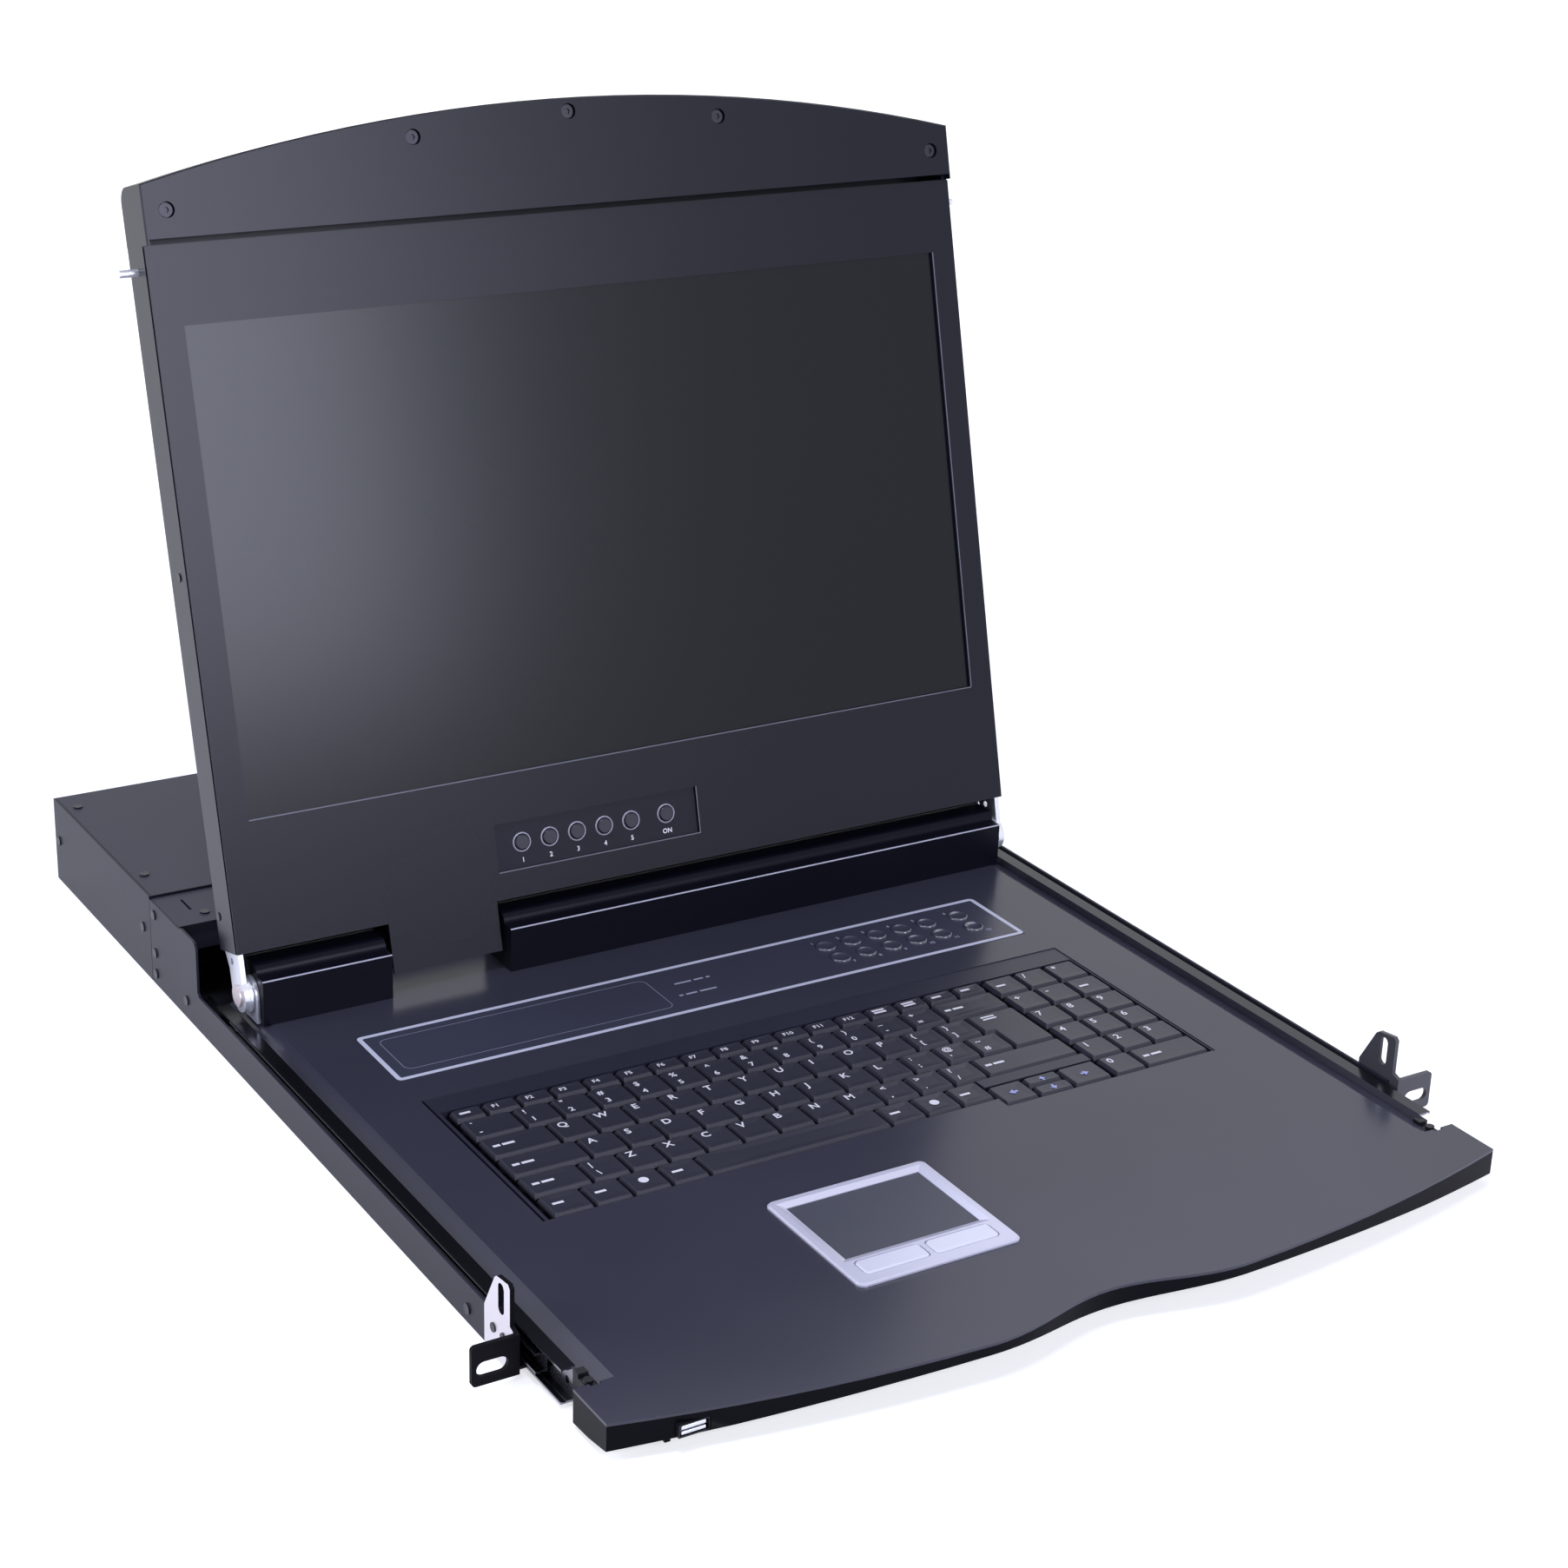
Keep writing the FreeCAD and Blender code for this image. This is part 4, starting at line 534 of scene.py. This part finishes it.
def mark_key(mesh, legend, low, high, top):
    """Prints one key's legend in the upper left of its top."""
    z = top + LEGEND_LIFT
    left, back = low.x + 3.0 * MM, high.y - 2.2 * MM
    middle_y = (low.y + high.y) / 2
    height = min(3.9 * MM, (high.y - low.y) * 0.34)
    if legend is None:
        return
    if legend == WORD:
        bar(mesh, left, middle_y - 0.3 * MM, 5.2 * MM, 1.6 * MM, z)
    elif legend == LONG:
        bar(mesh, left, middle_y - 0.3 * MM, 3.4 * MM, 1.7 * MM, z)
        bar(mesh, left + 4.4 * MM, middle_y - 0.3 * MM, 5.8 * MM, 1.7 * MM, z)
    elif legend == BLOCK:
        bar(mesh, left, middle_y + 0.9 * MM, 6.6 * MM, 1.5 * MM, z)
        bar(mesh, left, middle_y - 1.3 * MM, 6.6 * MM, 1.5 * MM, z)
    elif legend == DOT:
        disc(mesh, (low.x + high.x) / 2 - 0.8 * MM, middle_y + 0.6 * MM, 2.3 * MM, z)
    elif isinstance(legend, tuple):
        write(mesh, legend[0], left, back - height, z, height * 1.25)
        write(mesh, legend[1], left + 0.6 * MM, low.y + 3.6 * MM, z, height * 1.25)
    elif len(legend) > 1:
        write(mesh, legend, left, middle_y - 0.8 * MM, z, height * 1.15)
    else:
        write(mesh, legend, left, back - height * 1.05, z, height * 1.5)


def build_keys():
    upper_right = max(high.x for low, high in islands("keys_upper_row"))
    for group in KEY_GROUPS:
        node = "keys_" + group
        body = node + "_body"
        caps = islands(node)
        caps_mesh, print_mesh = bmesh.new(), bmesh.new()
        top = max(high.z for low, high in caps)
        enter = None
        if group == "home_row":
            enter = max(caps, key=lambda pair: pair[1].y - pair[0].y)
            caps.remove(enter)
            row_right = max(high.x for low, high in caps)
            gap = caps[1][0].x - caps[0][1].x
            step = max(high.y for low, high in caps) + gap
            corners = enter_corners(*enter, upper_right + gap, row_right + gap, step)
            add_cap(caps_mesh, corners, top)
            for lift in (0.0, 2.2):
                bar(print_mesh, upper_right + gap + 6 * MM, enter[1].y - 6.4 * MM + lift * MM,
                    7.5 * MM, 1.2 * MM, top + LEGEND_LIFT)
        for low, high in caps:
            add_cap(caps_mesh, box_corners(low, high), top)
        if group == "number_pad":
            rows = sorted({round(low.y, 4) for low, high in caps})
            for row, legends in zip(rows, PAD_LEGENDS):
                line = [pair for pair in caps if abs(pair[0].y - row) < MM]
                line.sort(key=lambda pair: pair[0].x)
                for pair, legend in zip(line, legends):
                    mark_key(print_mesh, legend, *pair, top)
        elif group == "arrows":
            line = sorted(caps, key=lambda pair: (round(pair[0].x, 3), pair[0].y))
            for (low, high), turn in zip(line, ARROW_TURNS):
                arrow(print_mesh, (low.x + high.x) / 2, (low.y + high.y) / 2, top + LEGEND_LIFT,
                      min(4.5 * MM, (high.y - low.y) * 0.5), math.radians(turn))
        else:
            for pair, legend in zip(caps, LEGENDS[group]):
                mark_key(print_mesh, legend, *pair, top)
        bmesh.ops.recalc_face_normals(caps_mesh, faces=caps_mesh.faces)
        piece = make_piece("keycaps_" + group, caps_mesh, KEY_PLASTIC, body)
        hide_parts(node)
        bmesh.ops.recalc_face_normals(print_mesh, faces=print_mesh.faces)
        ink = LEGEND_BLUE if group == "arrows" else LEGEND_WHITE
        make_piece("legends_" + group, print_mesh, ink, body)


# ---------------------------------------------------------------- select panel
def build_panel():
    low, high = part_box("select_panel")
    flange = 3.9 * MM
    top = high[2]
    left, right = low[0] + flange, high[0] - flange
    front, back = low[1] + flange, high[1] - flange
    mesh = bmesh.new()
    margin = 0.2 * MM
    flat_frame(mesh, (left + margin, front + margin), (right - margin, back - margin),
               2.3 * MM, 2.6 * MM, top)
    make_piece("panel_outline", mesh, OUTLINE_SILVER, "tray")
    faint = bmesh.new()
    flat_frame(faint, (left + 7.8 * MM, front + 8.3 * MM), (left + 145.8 * MM, back - 7.1 * MM),
               0.5 * MM, 4.0 * MM, top)
    make_piece("panel_window", faint, LEGEND_GREY, "tray")
    marks = bmesh.new()
    for x, y, lengths in ((left + 157.0 * MM, front + 29.0 * MM, (9.0, 5.0, 2.0)),
                          (left + 153.0 * MM, front + 17.0 * MM, (2.0, 6.0, 9.0))):
        for length in lengths:
            bar(marks, x, y, length * MM, 1.3 * MM, top)
            x += (length + 1.6) * MM
    domes = islands("select_buttons")
    middle = (min(d[0].y for d in domes) + max(d[1].y for d in domes)) / 2
    rear = sorted((d for d in domes if d[0].y + d[1].y > 2 * middle), key=lambda d: d[0].x)
    fore = sorted((d for d in domes if d[0].y + d[1].y < 2 * middle), key=lambda d: d[0].x)
    for number, (dome_low, dome_high) in enumerate(rear, start=1):
        write(marks, str(number), dome_low.x + 0.2 * MM, dome_high.y - 0.2 * MM, top, SMALL_PRINT)
    for number, (dome_low, dome_high) in enumerate(fore, start=7):
        write(marks, str(number), dome_high.x - 1.6 * MM, dome_low.y - 1.8 * MM, top, SMALL_PRINT)
    make_piece("panel_marks", marks, MARK_GREY, "tray")


def build_domes():
    """Embossed membrane buttons: a low ridge round a slightly sunk middle."""
    mesh = bmesh.new()
    domes = islands("select_buttons")
    profile = ((1.0, 0.0), (0.985, 0.55), (0.93, 0.92), (0.86, 1.0),
               (0.78, 0.90), (0.66, 0.70), (0.45, 0.58), (0.2, 0.55))
    steps = 40
    for low, high in domes:
        centre = (low + high) / 2
        radius = (high.x - low.x) / 2
        base = high.z - 1.2 * MM
        rise = high.z - base
        rings = []
        for share, lift in ((1.0, None),) + profile:
            z = low.z if lift is None else base + lift * rise
            rings.append([mesh.verts.new((*point, z))
                          for point in around(centre.x, centre.y, radius * share, steps)])
        for lower, upper in zip(rings, rings[1:]):
            bridge(mesh, lower, upper)
        mesh.faces.new(rings[-1])
        mesh.faces.new(rings[0][::-1])
    for face in mesh.faces:
        face.smooth = len(face.verts) == 4
    # The domes get the lighter film: painted light.
    piece = make_piece("select_domes", mesh, DOME_FILM_LIGHTER, "select_keys")
    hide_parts("select_buttons")


# ---------------------------------------------------------------- lid
def on_lid(mesh):
    """Turns a flat drawing (x, up the lid, proud of the bezel) into its place on the lid."""
    turn = Matrix.Translation((0, BEZEL_FACE, 0)) @ Matrix.Rotation(math.radians(90), 4, "X")
    mesh.transform(LID @ turn)


def lid_local(node):
    """Boxes of a node's solids in the lid's own upright frame."""
    back = LID.inverted()
    data = NODES[node].data
    points = [back @ vert.co for vert in data.vertices]
    low = Vector((min(p.x for p in points), min(p.y for p in points), min(p.z for p in points)))
    high = Vector((max(p.x for p in points), max(p.y for p in points), max(p.z for p in points)))
    return low, high


def pocket(node):
    """The edges of the bezel's pocket round a node: left, right, foot and head."""
    low, high = lid_local(node)
    return low.x + POCKET_LAP, high.x - POCKET_LAP, low.z + POCKET_LAP, high.z - POCKET_LAP


def build_osd_labels():
    """Plain digits under the menu buttons and ON under the last one."""
    mesh = bmesh.new()
    depth = PRINT_THICK - POCKET_DEPTH
    for number in range(1, 7):
        low, high = lid_local("osd_button_%d" % number)
        middle = (low.x + high.x) / 2
        text = "ON" if number == 6 else str(number)
        shift = 2.6 * MM if number == 6 else 0.9 * MM
        write(mesh, text, middle - shift, low.z - 5.0 * MM, depth, 3.3 * MM)
    on_lid(mesh)
    make_piece("osd_labels", mesh, LEGEND_WHITE, "lid")


def build_osd_rings():
    """The raised rim round each menu button; its light grey colour is a painted highlight."""
    mesh = bmesh.new()
    depth = -POCKET_DEPTH - PRINT_THICK
    profile = ((0.30, 0.0), (0.40, 0.45), (0.70, 0.60), (1.05, 0.45), (1.25, 0.0))
    steps = 36
    for number in range(1, 7):
        low, high = lid_local("osd_button_%d" % number)
        middle, level = (low.x + high.x) / 2, (low.z + high.z) / 2
        rings = []
        for out, lift in profile:
            circle = around(middle, level, BUTTON_RADIUS + out * MM, steps)
            rings.append([mesh.verts.new((*point, depth + lift * MM)) for point in circle])
        for inner, outer in zip(rings, rings[1:]):
            bridge(mesh, inner, outer)
        bridge(mesh, rings[-1], rings[0])
    for face in mesh.faces:
        face.smooth = True
    bmesh.ops.recalc_face_normals(mesh, faces=mesh.faces)
    on_lid(mesh)
    make_piece("osd_rings", mesh, RING_HIGHLIGHT, "lid")


def build_lid_edges():
    """Painted highlights: bright lines on the bezel face along the cut edges of the two pockets, below and
    to the right of each.
    """
    mesh = bmesh.new()
    wide = 0.55 * MM
    for node, shift in (("osd_panel", 0.0), ("lcd_panel", 0.4 * MM)):
        left, right, foot, head = pocket(node)
        bar(mesh, left, foot - wide, right - left + wide, wide, 0.0)
        bar(mesh, right + shift, foot, wide, head - foot, 0.0)
    on_lid(mesh)
    make_piece("lid_edge_highlights", mesh, EDGE_HIGHLIGHT, "lid")


def build_usb():
    """The bright tongue and the lower lip inside the port."""
    low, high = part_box("usb_port")
    middle, level = (low[0] + high[0]) / 2, (low[2] + high[2]) / 2
    mesh = bmesh.new()
    for foot, head in ((0.2, 1.7), (-2.0, -0.7)):
        x0, x1 = middle - 5.2 * MM, middle + 5.2 * MM
        y0, y1 = low[1] + 0.5 * MM, low[1] + 6 * MM
        z0, z1 = level + foot * MM, level + head * MM
        corners = [Vector((x0, y0)), Vector((x1, y0)), Vector((x1, y1)), Vector((x0, y1))]
        slab(mesh, corners, z0, z1 - z0)
    bmesh.ops.bevel(mesh, geom=mesh.edges[:], offset=0.2 * MM, segments=2, affect="EDGES")
    make_piece("usb_contacts", mesh, BRIGHT, "tray")


# ---------------------------------------------------------------- stage, light and camera
FLOOR_REACH = 12.0
BACKGROUND_RAYS = ("Is Camera Ray", "Is Glossy Ray", "Is Transmission Ray")
LAMP_COLOR = (0.79, 0.81, 1.0)


def build_stage():
    """A pale floor that glows into the white background, and still takes the object's shadow."""
    floor_z = CAD_BOX[0][2]
    mesh = bmesh.new()
    edges = (-FLOOR_REACH, FLOOR_REACH)
    places = [(edges[0], edges[0]), (edges[1], edges[0]), (edges[1], edges[1]), (edges[0], edges[1])]
    mesh.faces.new([mesh.verts.new((x, y, floor_z)) for x, y in places])
    data = bpy.data.meshes.new("floor")
    mesh.to_mesh(data)
    mesh.free()
    floor = bpy.data.objects.new("floor", data)
    bpy.context.scene.collection.objects.link(floor)
    material, nodes, links = new_material("floor_white")
    shader = nodes["Principled BSDF"]
    shader.inputs["Base Color"].default_value = (0.86, 0.86, 0.87, 1)
    shader.inputs["Roughness"].default_value = 0.9
    shader.inputs["Specular IOR Level"].default_value = 0.1
    glow = nodes.new("ShaderNodeEmission")
    coords = nodes.new("ShaderNodeTexCoord")
    away = nodes.new("ShaderNodeVectorMath")
    away.operation = "LENGTH"
    links.new(coords.outputs["Object"], away.inputs[0])
    rise = nodes.new("ShaderNodeMapRange")
    rise.inputs["From Min"].default_value = 0.7
    rise.inputs["From Max"].default_value = 2.2
    rise.inputs["To Min"].default_value = 0.62
    rise.inputs["To Max"].default_value = 1.0
    links.new(away.outputs["Value"], rise.inputs["Value"])
    seen = nodes.new("ShaderNodeMath")
    seen.operation = "MULTIPLY"
    links.new(seen_share(nodes, links, BACKGROUND_RAYS), seen.inputs[0])
    links.new(rise.outputs["Result"], seen.inputs[1])
    links.new(seen.outputs[0], glow.inputs["Strength"])
    glow.inputs["Color"].default_value = (1.0, 1.0, 1.0, 1)
    add = nodes.new("ShaderNodeAddShader")
    links.new(shader.outputs[0], add.inputs[0])
    links.new(glow.outputs[0], add.inputs[1])
    links.new(add.outputs[0], nodes["Material Output"].inputs["Surface"])
    data.materials.append(material)


def seen_share(nodes, links, names):
    """One where the ray is any of the named kinds."""
    path = nodes.new("ShaderNodeLightPath")
    total = path.outputs[names[0]]
    for name in names[1:]:
        add = nodes.new("ShaderNodeMath")
        add.operation = "ADD"
        add.use_clamp = True
        links.new(total, add.inputs[0])
        links.new(path.outputs[name], add.inputs[1])
        total = add.outputs[0]
    return total


def build_world():
    """White to the camera and in gloss and glass; otherwise a dim even studio."""
    world = bpy.data.worlds.new("studio")
    bpy.context.scene.world = world
    world.use_nodes = True
    nodes, links = world.node_tree.nodes, world.node_tree.links
    lit = nodes["Background"]
    lit.inputs["Color"].default_value = (0.86, 0.89, 1.0, 1)
    lit.inputs["Strength"].default_value = 0.12
    white = nodes.new("ShaderNodeBackground")
    white.inputs["Color"].default_value = (1, 1, 1, 1)
    mix = nodes.new("ShaderNodeMixShader")
    links.new(seen_share(nodes, links, BACKGROUND_RAYS), mix.inputs["Fac"])
    links.new(lit.outputs[0], mix.inputs[1])
    links.new(white.outputs[0], mix.inputs[2])
    links.new(mix.outputs[0], nodes["World Output"].inputs["Surface"])


def add_softbox(name, place, target, size, power):
    lamp = bpy.data.lights.new(name, "AREA")
    lamp.shape = "RECTANGLE"
    lamp.size, lamp.size_y = size
    lamp.energy = power
    lamp.color = LAMP_COLOR
    holder = bpy.data.objects.new(name, lamp)
    holder.location = place
    aim = Vector(target) - Vector(place)
    holder.rotation_euler = aim.to_track_quat("-Z", "Y").to_euler()
    bpy.context.scene.collection.objects.link(holder)


def build_lights():
    add_softbox("back", (0.0, 1.6, 2.1), (0, 0, 0.05), (4.4, 0.9), 26)
    add_softbox("front", (0.60, -2.3, 1.16), (-0.1, 0.35, 0.25), (0.9, 1.42), 45)
    add_softbox("left", (-1.2, 0.35, 0.50), (0, 0.2, 0), (0.8, 0.5), 6.5)
    add_softbox("right", (2.3, -0.6, 0.25), (0.1, 0.1, 0), (0.8, 0.4), 5)
    add_softbox("overhead", (-0.50, -0.1, 1.9), (0, 0.1, 0), (0.4, 0.4), 9)


CAMERA_PLACE = (-0.65961, -0.87594, 0.62977)
CAMERA_AZIMUTH = math.radians(-32.09)
CAMERA_ELEVATION = math.radians(21.882)
CAMERA_ROLL = math.radians(1.987)
CAMERA_LENS = 68.79


def build_camera():
    data = bpy.data.cameras.new("camera")
    data.sensor_width = 36.0
    data.lens = CAMERA_LENS
    data.clip_start = 0.01
    data.clip_end = 50.0
    camera = bpy.data.objects.new("camera", data)
    tip = math.radians(90) - CAMERA_ELEVATION
    turn = (Matrix.Rotation(CAMERA_AZIMUTH, 4, "Z") @ Matrix.Rotation(tip, 4, "X")
            @ Matrix.Rotation(CAMERA_ROLL, 4, "Z"))
    camera.matrix_world = Matrix.Translation(CAMERA_PLACE) @ turn
    bpy.context.scene.collection.objects.link(camera)
    bpy.context.scene.camera = camera


dress_nodes()
build_keys()
build_panel()
build_domes()
build_osd_labels()
build_osd_rings()
build_lid_edges()
build_usb()
build_stage()
build_world()
build_lights()
build_camera()
bpy.context.scene.view_settings.view_transform = "Standard"
